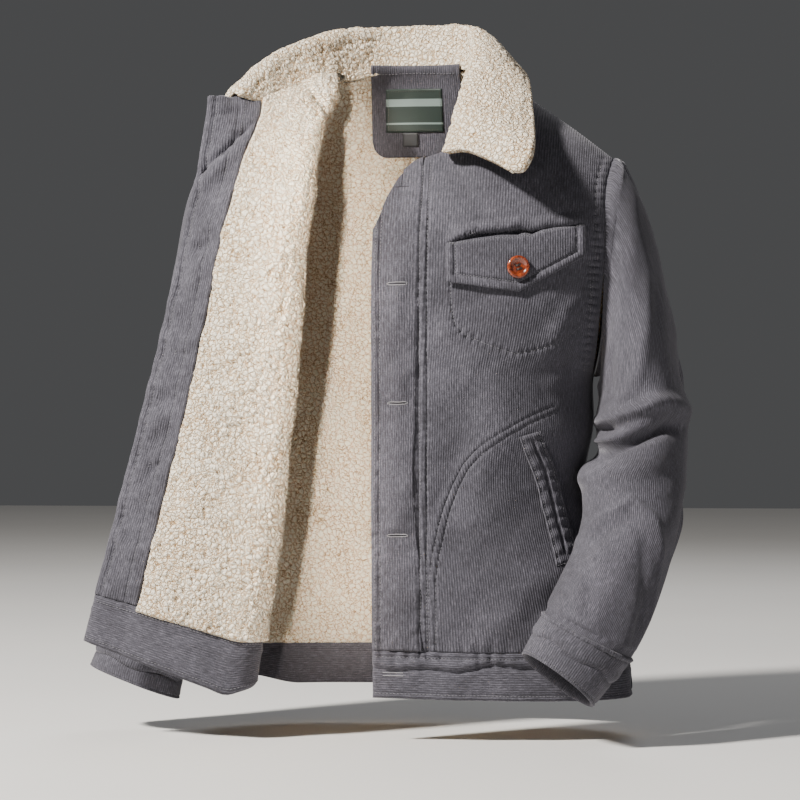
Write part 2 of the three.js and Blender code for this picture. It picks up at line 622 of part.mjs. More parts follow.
function armholeRing(side) {
  const ring = [];
  const topZ = shoulderZ(SHOULDER_HALF_WIDTH);
  for (let k = 0; k < SLEEVE_TURNS; k += 1) {
    const angle = k / SLEEVE_TURNS * Math.PI * 2;
    const z = (topZ + UNDERARM_Z) / 2 + (topZ - UNDERARM_Z) / 2 * Math.cos(angle);
    const x = sideX(Math.min(topZ, Math.max(UNDERARM_Z + 0.01, z)), side);
    const face = Math.sin(angle) >= 0 ? 'front' : 'back';
    const y = bodyY(side * x, z, face);
    const underarm = UNDERARM_EASE * Math.abs(Math.sin(angle)) * Math.max(0, -Math.cos(angle));
    ring.push(new THREE.Vector3(side * (x + ARMHOLE_EASE + underarm), y, z));
  }
  return ring;
}

function ringGrid(rows, folds, side, places) {
  return places.map((place) => {
    const ring = [];
    for (let k = 0; k < SLEEVE_TURNS; k += 1) {
      ring.push(sleevePoint(rows, folds, side, place, k / SLEEVE_TURNS));
    }
    return ring;
  });
}

// Wall round a tube of rings, moved out from the ring points by two distances
function tubeWall(rings, from, to, side) {
  const count = rings.length;
  const turns = rings[0].length;
  const outer = [];
  const inner = [];
  for (let i = 0; i < count; i += 1) {
    const outerRing = [];
    const innerRing = [];
    for (let k = 0; k < turns; k += 1) {
      const around = rings[i][(k + 1) % turns].clone().sub(rings[i][(k + turns - 1) % turns]);
      const along = rings[Math.min(count - 1, i + 1)][k].clone().sub(rings[Math.max(0, i - 1)][k]);
      const normal = around.cross(along).normalize().multiplyScalar(side);
      outerRing.push(rings[i][k].clone().addScaledVector(normal, to));
      innerRing.push(rings[i][k].clone().addScaledVector(normal, from));
    }
    outer.push(outerRing);
    inner.push(innerRing);
  }
  return closeGrids(outer, inner, true);
}

function addSleeve(name, rows, folds, side) {
  const cuffStart = CUFF_START[name];
  const upper = range(0, cuffStart - 0.02, Math.round((cuffStart - 0.02) * 1.5));
  const rings = [armholeRing(side), ...ringGrid(rows, folds, side, upper)];
  addMesh(name + '_sleeve', tubeWall(rings, -SHELL_THICKNESS / 2, SHELL_THICKNESS / 2, side), 'corduroy');
  const cuffRings = ringGrid(rows, [], side, range(cuffStart, cuffStart + 1, 2));
  addMesh(name + '_cuff', tubeWall(cuffRings, -BAND_THICKNESS / 2, BAND_THICKNESS / 2, side), 'corduroy');
}

// Collar: each section climbs from the neck seam, rolls over and falls outward
function collarSection(place) {
  const read = (name) => sleeveColumn(COLLAR_ROWS, name, place);
  const seam = new THREE.Vector3(read('seamX'), read('seamY'), read('seamZ'));
  const roll = new THREE.Vector3(read('rollX'), read('rollY'), read('rollZ'));
  const fall = new THREE.Vector3(read('fallX'), read('fallY'), read('fallZ'));
  return { seam, roll, fall };
}

function collarPoint(share, place) {
  const { seam, roll, fall } = collarSection(place);
  const beforeRoll = seam.clone().lerp(roll, 0.72);
  const afterRoll = fall.clone().lerp(roll, 0.78);
  const lift = new THREE.Vector3(0, 0, 1);
  beforeRoll.addScaledVector(lift, 1);
  afterRoll.addScaledVector(lift, 7);
  const middle = fall.clone().lerp(roll, 0.4).addScaledVector(lift, 6);
  const points = [seam, seam.clone().lerp(roll, 0.4), beforeRoll, roll, afterRoll, middle, fall];
  return new THREE.CatmullRomCurve3(points, false, 'centripetal').getPointAt(share);
}

const COLLAR_SHARES = [0, 0.14, 0.26, 0.34, 0.42, 0.5, 0.62, 0.8, 1];

function addCollar() {
  const last = COLLAR_ROWS.length - 1;
  const lattice = makeLattice(collarPoint, COLLAR_SHARES, range(0, last, 20), 1);
  addMesh('collar_sherpa',
    latticeWall(lattice, [0, 1], [0, last], SEAM_GAP, SHERPA_COLLAR_THICKNESS), 'sherpa');
  addMesh('under_collar', latticeWall(lattice, [0, 1], [0, last], -SHELL_THICKNESS, 0), 'corduroy');
}

// Things that lie on the fronts take their form from the cloth below, moved out
function frontPlace(x, z) {
  return new THREE.Vector3(x, bodyY(x, z, 'front'), z);
}

function frontNormal(x, z) {
  const alongX = frontPlace(x + 0.5, z).sub(frontPlace(x - 0.5, z));
  const alongZ = frontPlace(x, z + 0.5).sub(frontPlace(x, z - 0.5));
  return alongX.cross(alongZ).normalize();
}

function rightPlace(x, z) {
  const up = (z - SHELL_HEM_Z - 5) / (neckTopZ(x) - SHELL_HEM_Z - 5);
  return rightFrontFromEdge(x + FRONT_EDGE_OVERLAP, up);
}

function rightNormal(x, z) {
  const alongX = rightPlace(x + 1, z).sub(rightPlace(x - 1, z));
  const alongZ = rightPlace(x, z + 1).sub(rightPlace(x, z - 1));
  return alongZ.cross(alongX).normalize();
}

// Inside the roll of the right front, pieces keep a little more room from the bent cloth
const fronts = {
  left: { place: frontPlace, normal: frontNormal, room: 0, weltRoom: 0, buttonRoom: 0 },
  right: { place: rightPlace, normal: rightNormal, room: 1.5, weltRoom: 0.3, buttonRoom: 10.3 },
};

function patchOn(front, grid, from, to, room) {
  const lay = (distance) => grid.map((row) => row.map(({ x, z, lift = 0 }) => {
    const point = front.place(x, z);
    return point.addScaledVector(front.normal(x, z), distance + lift + room);
  }));
  return closeGrids(lay(to), lay(from), false);
}

function flapGrid() {
  const rows = [];
  for (const down of [0, 0.35, 0.7, 1]) {
    const row = [];
    for (const share of [0, 0.11, 0.22, 0.33, 0.44, 0.554, 0.66, 0.77, 0.88, 1]) {
      const x = mix(FLAP.innerX, FLAP.outerX, share);
      const top = mix(FLAP.innerTopZ, FLAP.outerTopZ, share);
      const toPoint = (x - FLAP.innerX) / (FLAP.pointX - FLAP.innerX);
      const pastPoint = (x - FLAP.pointX) / (FLAP.outerX - FLAP.pointX);
      const low = pastPoint <= 0
        ? mix(FLAP.innerLowZ, FLAP.pointZ, toPoint)
        : mix(FLAP.pointZ, FLAP.outerLowZ, pastPoint);
      row.push({ x, z: mix(top, low, down), lift: 1.6 * down });
    }
    rows.push(row);
  }
  return rows;
}

function weltGrid() {
  const rows = [];
  for (const down of range(0, 1, 6)) {
    const x = mix(WELT.topX, WELT.lowX, down) + 5 * Math.sin(Math.PI * down);
    const z = mix(WELT.topZ, WELT.lowZ, down);
    rows.push([-1, 0, 1].map((across) => ({
      x: x + across * WELT.halfWidth,
      z: z + across * 3,
      lift: 0.4 + 1.2 * Math.sin(Math.PI * down),
    })));
  }
  return rows;
}

function buttonGeometry() {
  const rim = BUTTON_RADIUS;
  const outline = [
    [0, 0], [rim * 0.86, 0], [rim, BUTTON_HEIGHT * 0.35], [rim, BUTTON_HEIGHT * 0.7],
    [rim * 0.85, BUTTON_HEIGHT], [rim * 0.58, BUTTON_HEIGHT * 0.55], [0, BUTTON_HEIGHT * 0.5],
  ].map(([radius, height]) => new THREE.Vector2(radius, height));
  return new THREE.LatheGeometry(outline, 12);
}

function addButton(name, front, x, z, clearance) {
  const mesh = addMesh(name, buttonGeometry(), 'button');
  const normal = front.normal(x, z);
  mesh.position.copy(front.place(x, z).addScaledVector(normal, clearance));
  mesh.quaternion.setFromUnitVectors(new THREE.Vector3(0, 1, 0), normal);
}

function addFrontDetails() {
  const flapFrom = onShell + 0.2;
  const flapTo = flapFrom + FLAP_THICKNESS;
  for (const [side, front] of Object.entries(fronts)) {
    addMesh(side + '_chest_flap', patchOn(front, flapGrid(), flapFrom, flapTo, front.room), 'corduroy');
    addButton(side + '_flap_button', front, FLAP_BUTTON.x, FLAP_BUTTON.z,
      flapTo + 1.9 + front.room + front.buttonRoom);
    addMesh(side + '_pocket_welt',
      patchOn(front, weltGrid(), flapFrom, flapFrom + SHELL_THICKNESS, front.weltRoom), 'corduroy');
  }
  BUTTONHOLE_HEIGHTS.forEach((height, index) => {
    addButton('right_front_button_' + (index + 1), fronts.right, 0, height, onShell + 0.8);
  });
  addButton('right_front_button_5', fronts.right, 0, BAND_BUTTON_HEIGHT, onShell + 1.2);
}

// Placket strip on the left front, from its edge to the stitched tuck
function addPlacket() {
  const end = leftColumns[PLACKET_COLUMN];
  addMesh('left_placket',
    latticeWall(leftLattice, [0, end], [PLACKET_RIM, 1 - PANEL_RIM], onShell, onShell + PLACKET_THICKNESS), 'corduroy');
}

// Corduroy patch, woven label and size tag inside the back neck
function addNeckPieces() {
  const acrossAt = (x) => x / SHOULDER_HALF_WIDTH;
  const upAt = (z) => (z - SHELL_HEM_Z) / -SHELL_HEM_Z;
  const patchFrom = liningTo - SEAM_GAP;
  const patchTo = patchFrom - PATCH_THICKNESS;
  const half = acrossAt(NECK_PATCH.halfWidth);
  const low = upAt(-NECK_PATCH.depth);
  const cornerTrim = NECK_PATCH.corner / -SHELL_HEM_Z;
  const across = linesBetween(backColumns, -half, half);
  const lastColumn = across.length - 1;
  const lowTrim = across.map((_, column) => (column === 0 || column === lastColumn ? cornerTrim : 0));
  addMesh('neck_patch',
    latticeWall(backLattice, [-half, half], [low, PATCH_TOP], patchTo, patchFrom, lowTrim), 'corduroy');
  const labelFrom = patchTo - SEAM_GAP;
  const pieces = [['neck_label', LABEL, 'label'], ['size_tag', SIZE_TAG, 'tag']];
  for (const [name, place, finish] of pieces) {
    const wide = [acrossAt(place.left), acrossAt(place.right)];
    const high = [upAt(place.bottom), upAt(place.top)];
    addMesh(name, latticeWall(backLattice, wide, high, labelFrom - LABEL_THICKNESS, labelFrom), finish);
  }
}

addLeftFront();
addBack();
addRightFront();
addHemBands();
addSleeve('left', LEFT_SLEEVE_ROWS, LEFT_SLEEVE_FOLDS, 1);
addSleeve('right', RIGHT_SLEEVE_ROWS, RIGHT_SLEEVE_FOLDS, -1);
addCollar();
addPlacket();
addFrontDetails();
addNeckPieces();

export default jacket;
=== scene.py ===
import math

import bpy
import numpy as np
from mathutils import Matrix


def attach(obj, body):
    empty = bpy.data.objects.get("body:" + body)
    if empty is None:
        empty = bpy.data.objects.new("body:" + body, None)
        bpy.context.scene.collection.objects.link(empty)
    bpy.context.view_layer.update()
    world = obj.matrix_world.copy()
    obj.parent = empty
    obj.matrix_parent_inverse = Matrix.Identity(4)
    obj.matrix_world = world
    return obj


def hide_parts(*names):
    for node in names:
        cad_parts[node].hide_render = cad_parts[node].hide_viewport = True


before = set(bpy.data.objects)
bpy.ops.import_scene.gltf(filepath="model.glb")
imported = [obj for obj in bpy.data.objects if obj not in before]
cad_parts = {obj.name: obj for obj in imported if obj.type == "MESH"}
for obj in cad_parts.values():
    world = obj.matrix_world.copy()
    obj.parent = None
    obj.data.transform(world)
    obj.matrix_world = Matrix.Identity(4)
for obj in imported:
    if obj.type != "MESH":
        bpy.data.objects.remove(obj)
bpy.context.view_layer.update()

# ---------------------------------------------------------------- sizes, in millimetres
SHELL_FROM, SHELL_TO = 0.15, 2.15
LINING_FROM, LINING_TO = -0.66, -6.2
FACING_TO = -2.7
BAND_FROM, BAND_TO = -2.4, 2.75
PLACKET_FROM, PLACKET_TO = 2.35, 3.9
FLAP_FROM, FLAP_TO = 2.8, 5.2
NECK_HALF_WIDTH = 75
SHOULDER_HALF_WIDTH = 211
SIDE_SEAM_Y = -75
UNDERARM_Z = -330
SHELL_HEM_Z = -612
FRONT_EDGE_OVERLAP = 27
PLACKET_WIDTH = 50
FACING_WIDTH = 48
RIGHT_FRONT_HEIGHT = 565
FACING_SEAMS = (8.5, 33)
BUTTON_MARKS = (498, 395, 278, 152)
BAND_DEPTH = 48
BAND_SEAMS = (6, 43)
BAND_LAP, SEAM_GAP = 0.25, 0.05
CUFF_DEPTH = 62
CUFF_SEAMS = (7, 55)
BAND_SHARE = 0.096
SIDE_SEAM_SHARE = 0.5594
ROUND_SIDES = 2.4
CURL_SIZE = 4.6
WALE_WIDTH = 2.35
STITCH_LENGTH = 2.9
STITCH_PITCH = 3.7
THREAD_RADIUS = 0.33

BODY_SECTIONS = {
    "z": [-680, -612, -540, -480, -430, -380, -330, -300, -252, -206, -133, 20],
    "left": [231, 226, 209, 190, 182, 190, 190, 201, 214, 222, 226, 228],
    "right": [209, 206, 200, 194, 190, 190, 190, 201, 214, 222, 226, 228],
    "front": [-179, -182, -187, -189, -190, -190, -191, -192, -192, -190, -186, -180],
    "back": [24, 25, 27, 29, 32, 35, 38, 40, 42, 43, 42, 34],
}
ARMHOLE = {
    "z": [-330, -316, -300, -252, -206, -140, -105],
    "x": [190, 192.5, 195, 200, 204, 204.5, 211],
}
RIGHT_FRONT = {
    "up": [-0.1, 0, 0.2, 0.4, 0.6, 0.78, 0.9, 1],
    "roll_x": [-146, -141, -127, -113, -101, -93, -90, -77],
    "radius": [20, 20, 20, 20, 20, 17, 12, 2],
    "bow": [7, 7, 6, 5, 5, 6, 8, 14],
    "edge_x": [-324, -311.5, -284.5, -258, -233.5, -215, -204, -200],
    "edge_y": [-180, -180, -182, -184, -184, -180, -168, -150],
    "edge_z": [-602, -552, -451, -350, -249, -158, -98, -43],
}
# Sleeve rows: outer x and z, inner x and z, middle depth, half depth
LEFT_SLEEVE = [
    (222.5, -114, 198.5, -331, -75, 58), (239, -148, 199, -336, -79, 64), (255, -200, 197.5, -343, -83, 69),
    (267, -252, 197.5, -353, -87, 71), (276.5, -299, 197, -364, -90, 71), (282, -330, 197, -378, -94, 70),
    (286, -362, 198, -391, -99, 68), (287, -396, 198, -404, -108, 65), (285, -428, 183, -428, -124, 60),
    (283, -455, 182.5, -452, -140, 57), (279, -488, 180, -483, -157, 53), (258, -552, 169, -520, -184, 46),
    (241, -594, 154, -553, -202, 41), (232.5, -609, 148.5, -566, -207, 38), (193, -658, 126, -608, -216, 32),
]
RIGHT_SLEEVE = [
    (220, -114, 198.5, -331, -74, 58), (231, -145, 199, -336, -76, 64), (241, -195, 197.5, -343, -76, 70),
    (251, -245, 197.5, -353, -77, 73), (259, -295, 197, -366, -77, 73), (267, -345, 197, -384, -78, 72),
    (276, -395, 199, -417, -79, 69), (285, -437, 205, -456, -80, 64), (294, -478, 213, -497, -82, 58),
    (303, -522, 221, -542, -84, 52), (312, -568, 230, -592, -87, 45), (319, -598, 236, -625, -89, 41),
    (334, -634, 243, -668, -92, 34),
]
# Collar rows from its left end: seam, top of the roll, outer edge of the fall
COLLAR = [
    (48, -147, -104, 49, -163, -107, 124, -203, -135), (58, -125, -72, 56, -140, -72, 136, -194, -112),
    (65, -98, -41, 62, -104, -34, 133, -138, -76), (70, -60, -20, 68, -66, 0, 125, -82, -36),
    (70, -26, -8, 63, -21, 32, 112, -10, -16), (50, -10, -5, 45, 3, 39, 78, 42, -14),
    (22, -1, -4, 20, 13, 40, 30, 57, -22), (-10, 0, -4, -14, 14, 40, -24, 57, -24),
    (-40, -6, -9, -45, 3, 38, -72, 44, -16), (-69, -26, -17, -77, -20, 33, -114, 6, -12),
    (-86, -48, -20, -104, -48, 20, -144, -36, -18), (-114, -76, -29, -140, -86, -1, -173, -80, -46),
    (-150, -122, -52, -170, -141, -44, -190, -130, -60),
]
NECKLINE = {
    "x": [-27, -21.9, -15.2, -2.9, 15.6, 42.3, 56, 65, 70, 73, 75],
    "z": [-184, -173, -151, -127.5, -111, -100, -83, -64, -49, -34, -8],
}
FLAP_OUTLINE = {"inner": 48.5, "outer": 183, "low_in": -237.5, "point_x": 119, "point_z": -247, "low_out": -210}
FLAP_SEAM_IN = 9.0
BUTTONHOLES = [-141, -239, -358, -490.5]
BAND_BUTTON_Z = -631
MOUTH_TIP = {1: 15, -1: 4}


# ---------------------------------------------------------------- curves and surfaces
def smooth(share):
    share = np.clip(share, 0, 1)
    return share * share * (3 - 2 * share)


def mix(a, b, share):
    return a + (b - a) * share


def read_rows(table, key, name, at):
    """A table column as a smooth curve through its rows."""
    keys, values = np.array(table[key], float), np.array(table[name], float)
    at = np.asarray(at, float)
    i = np.searchsorted(keys[1:-1], at, side="left")
    before, after = np.maximum(i - 1, 0), np.minimum(i + 2, len(keys) - 1)
    span = keys[i + 1] - keys[i]
    s = (at - keys[i]) / span
    slope_a = (values[i + 1] - values[before]) / (keys[i + 1] - keys[before])
    slope_b = (values[after] - values[i]) / (keys[after] - keys[i])
    return (values[i] * (2 * s**3 - 3 * s**2 + 1) + slope_a * span * (s**3 - 2 * s**2 + s)
            + values[i + 1] * (3 * s**2 - 2 * s**3) + slope_b * span * (s**3 - s**2))


def read_sections(rows, place):
    """Rows of numbers, read at any place between them along a smooth curve."""
    rows = np.array(rows, float)
    place = np.asarray(place, float)
    i = np.clip(np.floor(place).astype(int), 0, len(rows) - 2)
    s = (place - i)[..., None]
    last = len(rows) - 1
    before, here = rows[np.maximum(i - 1, 0)], rows[i]
    after, beyond = rows[i + 1], rows[np.minimum(i + 2, last)]
    a, b = (after - before) / 2, (beyond - here) / 2
    return (here * (2 * s**3 - 3 * s**2 + 1) + a * (s**3 - 2 * s**2 + s)
            + after * (3 * s**2 - 2 * s**3) + b * (s**3 - s**2))


def dense_curve(points, per_span=10):
    """A rounded curve through points, close-set, with the length along it."""
    p = np.vstack([2 * points[0] - points[1], points, 2 * points[-1] - points[-2]])
    out = []
    t = np.linspace(0, 1, per_span, endpoint=False)[:, None]
    for k in range(1, len(p) - 2):
        p0, p1, p2, p3 = p[k - 1], p[k], p[k + 1], p[k + 2]
        d0, d1, d2 = (max(float(np.linalg.norm(b - a)) ** 0.5, 1e-4) for a, b in ((p0, p1), (p1, p2), (p2, p3)))
        m1 = ((p1 - p0) / d0 - (p2 - p0) / (d0 + d1) + (p2 - p1) / d1) * d1
        m2 = ((p2 - p1) / d1 - (p3 - p1) / (d1 + d2) + (p3 - p2) / d2) * d1
        out.append(p1 * (2 * t**3 - 3 * t**2 + 1) + m1 * (t**3 - 2 * t**2 + t)
                   + p2 * (3 * t**2 - 2 * t**3) + m2 * (t**3 - t**2))
    out = np.vstack(out + [p[-2][None]])
    along = np.concatenate([[0], np.cumsum(np.linalg.norm(np.diff(out, axis=0), axis=1))])
    return out, along


def at_length(curve, along, lengths):
    return np.stack([np.interp(lengths, along, curve[:, k]) for k in range(3)], -1)


def shoulder_z(x):
    out = np.abs(x)
    past = np.maximum(out - NECK_HALF_WIDTH, 0)
    return -8 * np.minimum(out / NECK_HALF_WIDTH, 1) ** 2 - 0.62 * past - 0.0007 * past**2


def shoulder_y(x):
    out = np.abs(x)
    past = np.maximum(out - NECK_HALF_WIDTH, 0)
    return (-25 * np.minimum(out / NECK_HALF_WIDTH, 1) ** 2
            - 35 * past / (SHOULDER_HALF_WIDTH - NECK_HALF_WIDTH))


def half_width(z, x):
    return np.where(x > 0, read_rows(BODY_SECTIONS, "z", "left", z), read_rows(BODY_SECTIONS, "z", "right", z))


def body_y(x, z, face):
    out = np.minimum(np.abs(x) / half_width(z, x), 1)
    roundness = (1 - out**ROUND_SIDES) ** (1 / ROUND_SIDES)
    full = SIDE_SEAM_Y + (read_rows(BODY_SECTIONS, "z", face, z) - SIDE_SEAM_Y) * roundness
    below = np.maximum(0, shoulder_z(x) - z)
    out_share = np.minimum(1, np.abs(x) / SHOULDER_HALF_WIDTH)
    full_at = mix(250 if face == "front" else 190, 120, out_share)
    power = 0.9 - 0.35 * np.minimum(1, np.abs(x) / 90)
    rise = np.sin(np.minimum(1, below / full_at) * np.pi / 2) ** power
    return mix(shoulder_y(x), full, rise)


def side_x(z, side):
    low = half_width(z, side * np.ones_like(z))
    return np.where(z <= UNDERARM_Z, low, read_rows(ARMHOLE, "z", "x", np.maximum(z, UNDERARM_Z)))


def neck_top_z(x):
    return np.where(x >= NECK_HALF_WIDTH, shoulder_z(x), read_rows(NECKLINE, "x", "z", np.clip(x, -27, 75)))


def panel_z(hem, top, up):
    return np.where(up < 0, hem + BAND_DEPTH * up / BAND_SHARE, mix(hem, top, up))


# ---------------------------------------------------------------- folds, curls and seams
def soft_noise(x, y, size, seed):
    """Smooth noise from -1 to 1, in lumps about as large as size."""
    table = np.random.default_rng(seed).uniform(-1, 1, (64, 64))
    gx, gy = x / size, y / size
    ix, iy = np.floor(gx).astype(int), np.floor(gy).astype(int)
    fx, fy = smooth(gx - ix), smooth(gy - iy)
    low = mix(table[ix % 64, iy % 64], table[(ix + 1) % 64, iy % 64], fx)
    high = mix(table[ix % 64, (iy + 1) % 64], table[(ix + 1) % 64, (iy + 1) % 64], fx)
    return mix(low, high, fy)


def tufts(points, size, seed):
    """Rounded tufts of pile in space: 1 at a tuft's top, 0 in the crevices."""
    spots = np.random.default_rng(seed).uniform(0.1, 0.9, (31, 31, 31, 3))
    place = points / size
    cell = np.floor(place).astype(int)
    nearest = np.full(place.shape[:-1], 9.0)
    for step in np.ndindex(3, 3, 3):
        here = cell + step - 1
        spot = here + spots[here[..., 0] % 31, here[..., 1] % 31, here[..., 2] % 31]
        nearest = np.minimum(nearest, np.linalg.norm(spot - place, axis=-1))
    return 1 - np.clip(nearest / 0.85, 0, 1) ** 2


def line_distance(x, z, points):
    """Distance from a drawn line, and how far along it the nearest point is."""
    nearest, along = np.full(np.shape(x), 1e9), np.zeros(np.shape(x))
    run = 0.0
    for (ax, az), (bx, bz) in zip(points[:-1], points[1:]):
        dx, dz = bx - ax, bz - az
        length = math.hypot(dx, dz)
        t = np.clip(((x - ax) * dx + (z - az) * dz) / length**2, 0, 1)
        away = np.hypot(x - ax - t * dx, z - az - t * dz)
        closer = away < nearest
        nearest, along = np.where(closer, away, nearest), np.where(closer, run + t * length, along)
        run += length
    return nearest, along


def groove(x, z, points, depth, width=1.7, pucker=0.0, pitch=9.0):
    """A sewn line pulls the cloth in, with small puckers to both sides."""
    away, along = line_distance(x, z, points)
    waves = np.sin(along * 2 * np.pi / pitch + 1.7 * np.sin(along / 23))
    return (-depth * np.exp(-((away / width) ** 2))
            + pucker * waves * np.exp(-((away / (3.2 * width)) ** 2)))


def crease(x, z, points, height, width):
    away, along = line_distance(x, z, points)
    total = sum(math.dist(a, b) for a, b in zip(points[:-1], points[1:]))
    ends = np.sin(np.pi * np.clip(along / total, 0.02, 0.98)) ** 0.6
    return height * ends * np.exp(-((away / width) ** 2))


# Sewn lines on the left front, in x and z
POCKET_LINE = [(52.4, -236), (53.5, -262), (57, -280), (68, -291), (92, -301), (117, -309),
               (140, -304), (164, -294), (180, -279), (186.5, -264), (189, -246), (188.5, -214)]
CURVED_SEAM = [(152, -361.5), (127, -373), (105.9, -385.4), (91, -395), (77.7, -405.5),
               (65, -420), (54.5, -439.8), (46, -461), (40.3, -482.1), (34.5, -508), (31.2, -535.6), (31.2, -609)]
CURVED_SEAM_2 = [(154, -368), (130, -379), (109, -391), (95, -400.5), (83, -410),
                 (70.5, -424), (60.5, -442.5), (52.5, -463), (46.8, -484), (41, -509), (37.6, -536), (37.2, -609)]
TUCK_LINE = [(20.6, -118), (20.6, -360), (20.9, -610)]
TUCK_LINE_2 = [(28.7, -114), (28.7, -360), (28.2, -610)]
WELT_LINE = [(129, -389), (137, -412), (146, -440), (155.5, -482), (165, -520)]
EDGE_LINE = [(-18.5, -172), (-18.5, -400), (-18.5, -610)]


def slot_z(x):
    """The wavy lip of the slot the chest flap comes out of, rising towards the armhole."""
    return np.interp(x, [46, 54, 66, 80, 102, 122, 132, 140, 154, 180, 187],
                     [-197, -195.5, -191, -186.5, -184.6, -181.6, -184.2, -182, -180, -176.8, -177])


def slot_gap(x):
    """How far the slot gapes over the flap's folded top."""
    return np.interp(x, [46, 54, 66, 80, 102, 119, 126, 134, 143, 154, 186],
                     [1.6, 2.2, 4.6, 6.6, 5.6, 8, 5.4, 5, 3, 2, 1.6])


def front_folds(x, z):
    """What stands out from the smooth left front, outward, in mm."""
    above = z - slot_z(x)
    beside = smooth((x - 46) / 9) * smooth((188 - x) / 6)
    f = 2.6 * soft_noise(x, z, 74, 3) + 1.5 * soft_noise(x + 9, z * 1.1, 31, 4)
    f += 0.5 * soft_noise(x, z, 12, 5)
    # drag lines from the armhole and under the flap, then the long soft hollow beside the pocket
    f += crease(x, z, [(196, -232), (170, -262), (150, -300)], 3.4, 9)
    f += crease(x, z, [(200, -270), (178, -292), (160, -330)], -3.0, 10)
    f += crease(x, z, [(190, -310), (168, -330), (140, -345)], 2.6, 9)
    f += crease(x, z, [(112, -320), (98, -380), (84, -470)], 3.0, 22)
    f += crease(x, z, [(70, -330), (60, -400), (48, -520)], -2.6, 17)
    f += crease(x, z, [(150, -530), (120, -560), (90, -600)], 2.4, 16)
    f += crease(x, z, [(186, -500), (190, -560), (196, -606)], 3.6, 11)
    f += crease(x, z, [(176, -520), (178, -570), (180, -606)], -3.0, 9)
    f += crease(x, z, [(60, -130), (80, -160), (86, -190)], -2.2, 12)
    f += crease(x, z, [(130, -110), (150, -140), (182, -160)], 2.4, 13)
    f *= smooth((x + 30) / 40) * 0.85 + 0.15
    f *= 1 - 0.8 * beside * smooth(-above / 5) * smooth((above + 72) / 14)
    f += groove(x, z, TUCK_LINE, 2.3, 1.6, 0.35, 9)
    f += groove(x, z, TUCK_LINE_2, 1.4, 1.4, 0.3, 8)
    f += crease(x, z, [(24.7, -114), (24.7, -610)], 1.3, 2.2)
    gape = slot_gap(x)
    f += beside * (3.6 * smooth(above / 1.8 + 0.5) * smooth((13 - above) / 9) * (0.85 + 0.15 * np.sin(x / 4.3))
                   - (1.2 + 0.75 * gape) * smooth(-above / 1.6 + 0.3) * smooth((above + gape + 5) / 3.5))
    f += groove(x, z, POCKET_LINE, 1.2, 1.6, 0.5, 7)
    f += groove(x, z, CURVED_SEAM, 1.5, 1.5, 0.3, 7)
    f += groove(x, z, CURVED_SEAM_2, 1.2, 1.4, 0.3, 6.5)
    f += crease(x, z, CURVED_SEAM, 1.6, 6)
    # puckers beside the hem band and the armhole
    near_hem = np.exp(-((z - SHELL_HEM_Z) / 13) ** 2)
    f += near_hem * (0.7 * np.sin(x / 2.6 + np.sin(x / 13)) - 0.9)
    from_arm = side_x(z, 1) - x
    f += smooth((z + 335) / 20) * (np.exp(-((from_arm - 8) / 6) ** 2) * 1.1 * np.sin(z / 1.2 + np.sin(z / 17))
                                   - 1.4 * np.exp(-((from_arm - 10) / 1.8) ** 2)
                                   + 1.2 * np.exp(-((from_arm - 5) / 4) ** 2))
    return f * smooth((shoulder_z(x) - z + 2) / 14) * smooth((228 - x) / 30)


def front_y(x, z, room=0.0):
    """The left front's cloth. With room, the smoother way of the lining behind its sharp folds."""
    folds = front_folds(x, z)
    for dx, dz in np.array([(1, 0), (-1, 0), (0, 1), (0, -1), (1, 1), (-1, -1)]) * room * (room > 0):
        folds = np.minimum(folds, front_folds(x + dx, z + dz))
    return body_y(x, z, "front") - folds


def front_place(x, z, lift=0.0):
    """A point on the left front, raised by lift along the cloth's own normal, and that normal."""
    x, z = np.asarray(x, float), np.asarray(z, float)
    step = 1.5
    slope_x = (front_y(x + step, z) - front_y(x - step, z)) / (2 * step)
    slope_z = (front_y(x, z + step) - front_y(x, z - step)) / (2 * step)
    n = np.stack([slope_x, -np.ones_like(slope_x), slope_z], -1)
    n /= np.linalg.norm(n, axis=-1, keepdims=True)
    p = np.stack([x, front_y(x, z), z], -1)
    return p + n * np.asarray(lift)[..., None], n


def back_folds(x, z):
    f = 2.6 * soft_noise(x, z, 88, 13) + 1.0 * soft_noise(x, z, 33, 14) + 0.3 * soft_noise(x, z, 12, 15)
    for points, height, width in (
        ([(-196, -250), (-120, -300), (-40, -330)], 4.0, 15), ([(196, -262), (130, -318), (50, -352)], 3.8, 16),
        ([(-190, -300), (-140, -350), (-80, -390)], -3.2, 14), ([(192, -310), (150, -368), (96, -404)], -3.4, 15),
        ([(-150, -420), (-130, -500), (-120, -600)], 4.2, 19), ([(140, -430), (128, -520), (132, -604)], 3.8, 18),
        ([(-60, -440), (-52, -520), (-40, -604)], -3.0, 20), ([(52, -400), (60, -500), (50, -604)], -2.8, 20),
        ([(-110, -70), (-60, -110), (0, -122)], 2.6, 14), ([(112, -72), (66, -116), (8, -128)], 2.2, 14),
    ):
        f += crease(x, z, points, height, width)
    near_hem = np.exp(-((z - SHELL_HEM_Z) / 13) ** 2)
    f += near_hem * (0.7 * np.sin(x / 2.7 + np.sin(x / 15)) - 0.9)
    return f * smooth((shoulder_z(x) - z + 2) / 22) * smooth((226 - np.abs(x)) / 34)


def side_rise(x, up):
    """The hem band's lower edge rides up a little round the right side seam."""
    return 12 * np.clip(-up / BAND_SHARE, 0, 1) * smooth((-128 - x) / 60)


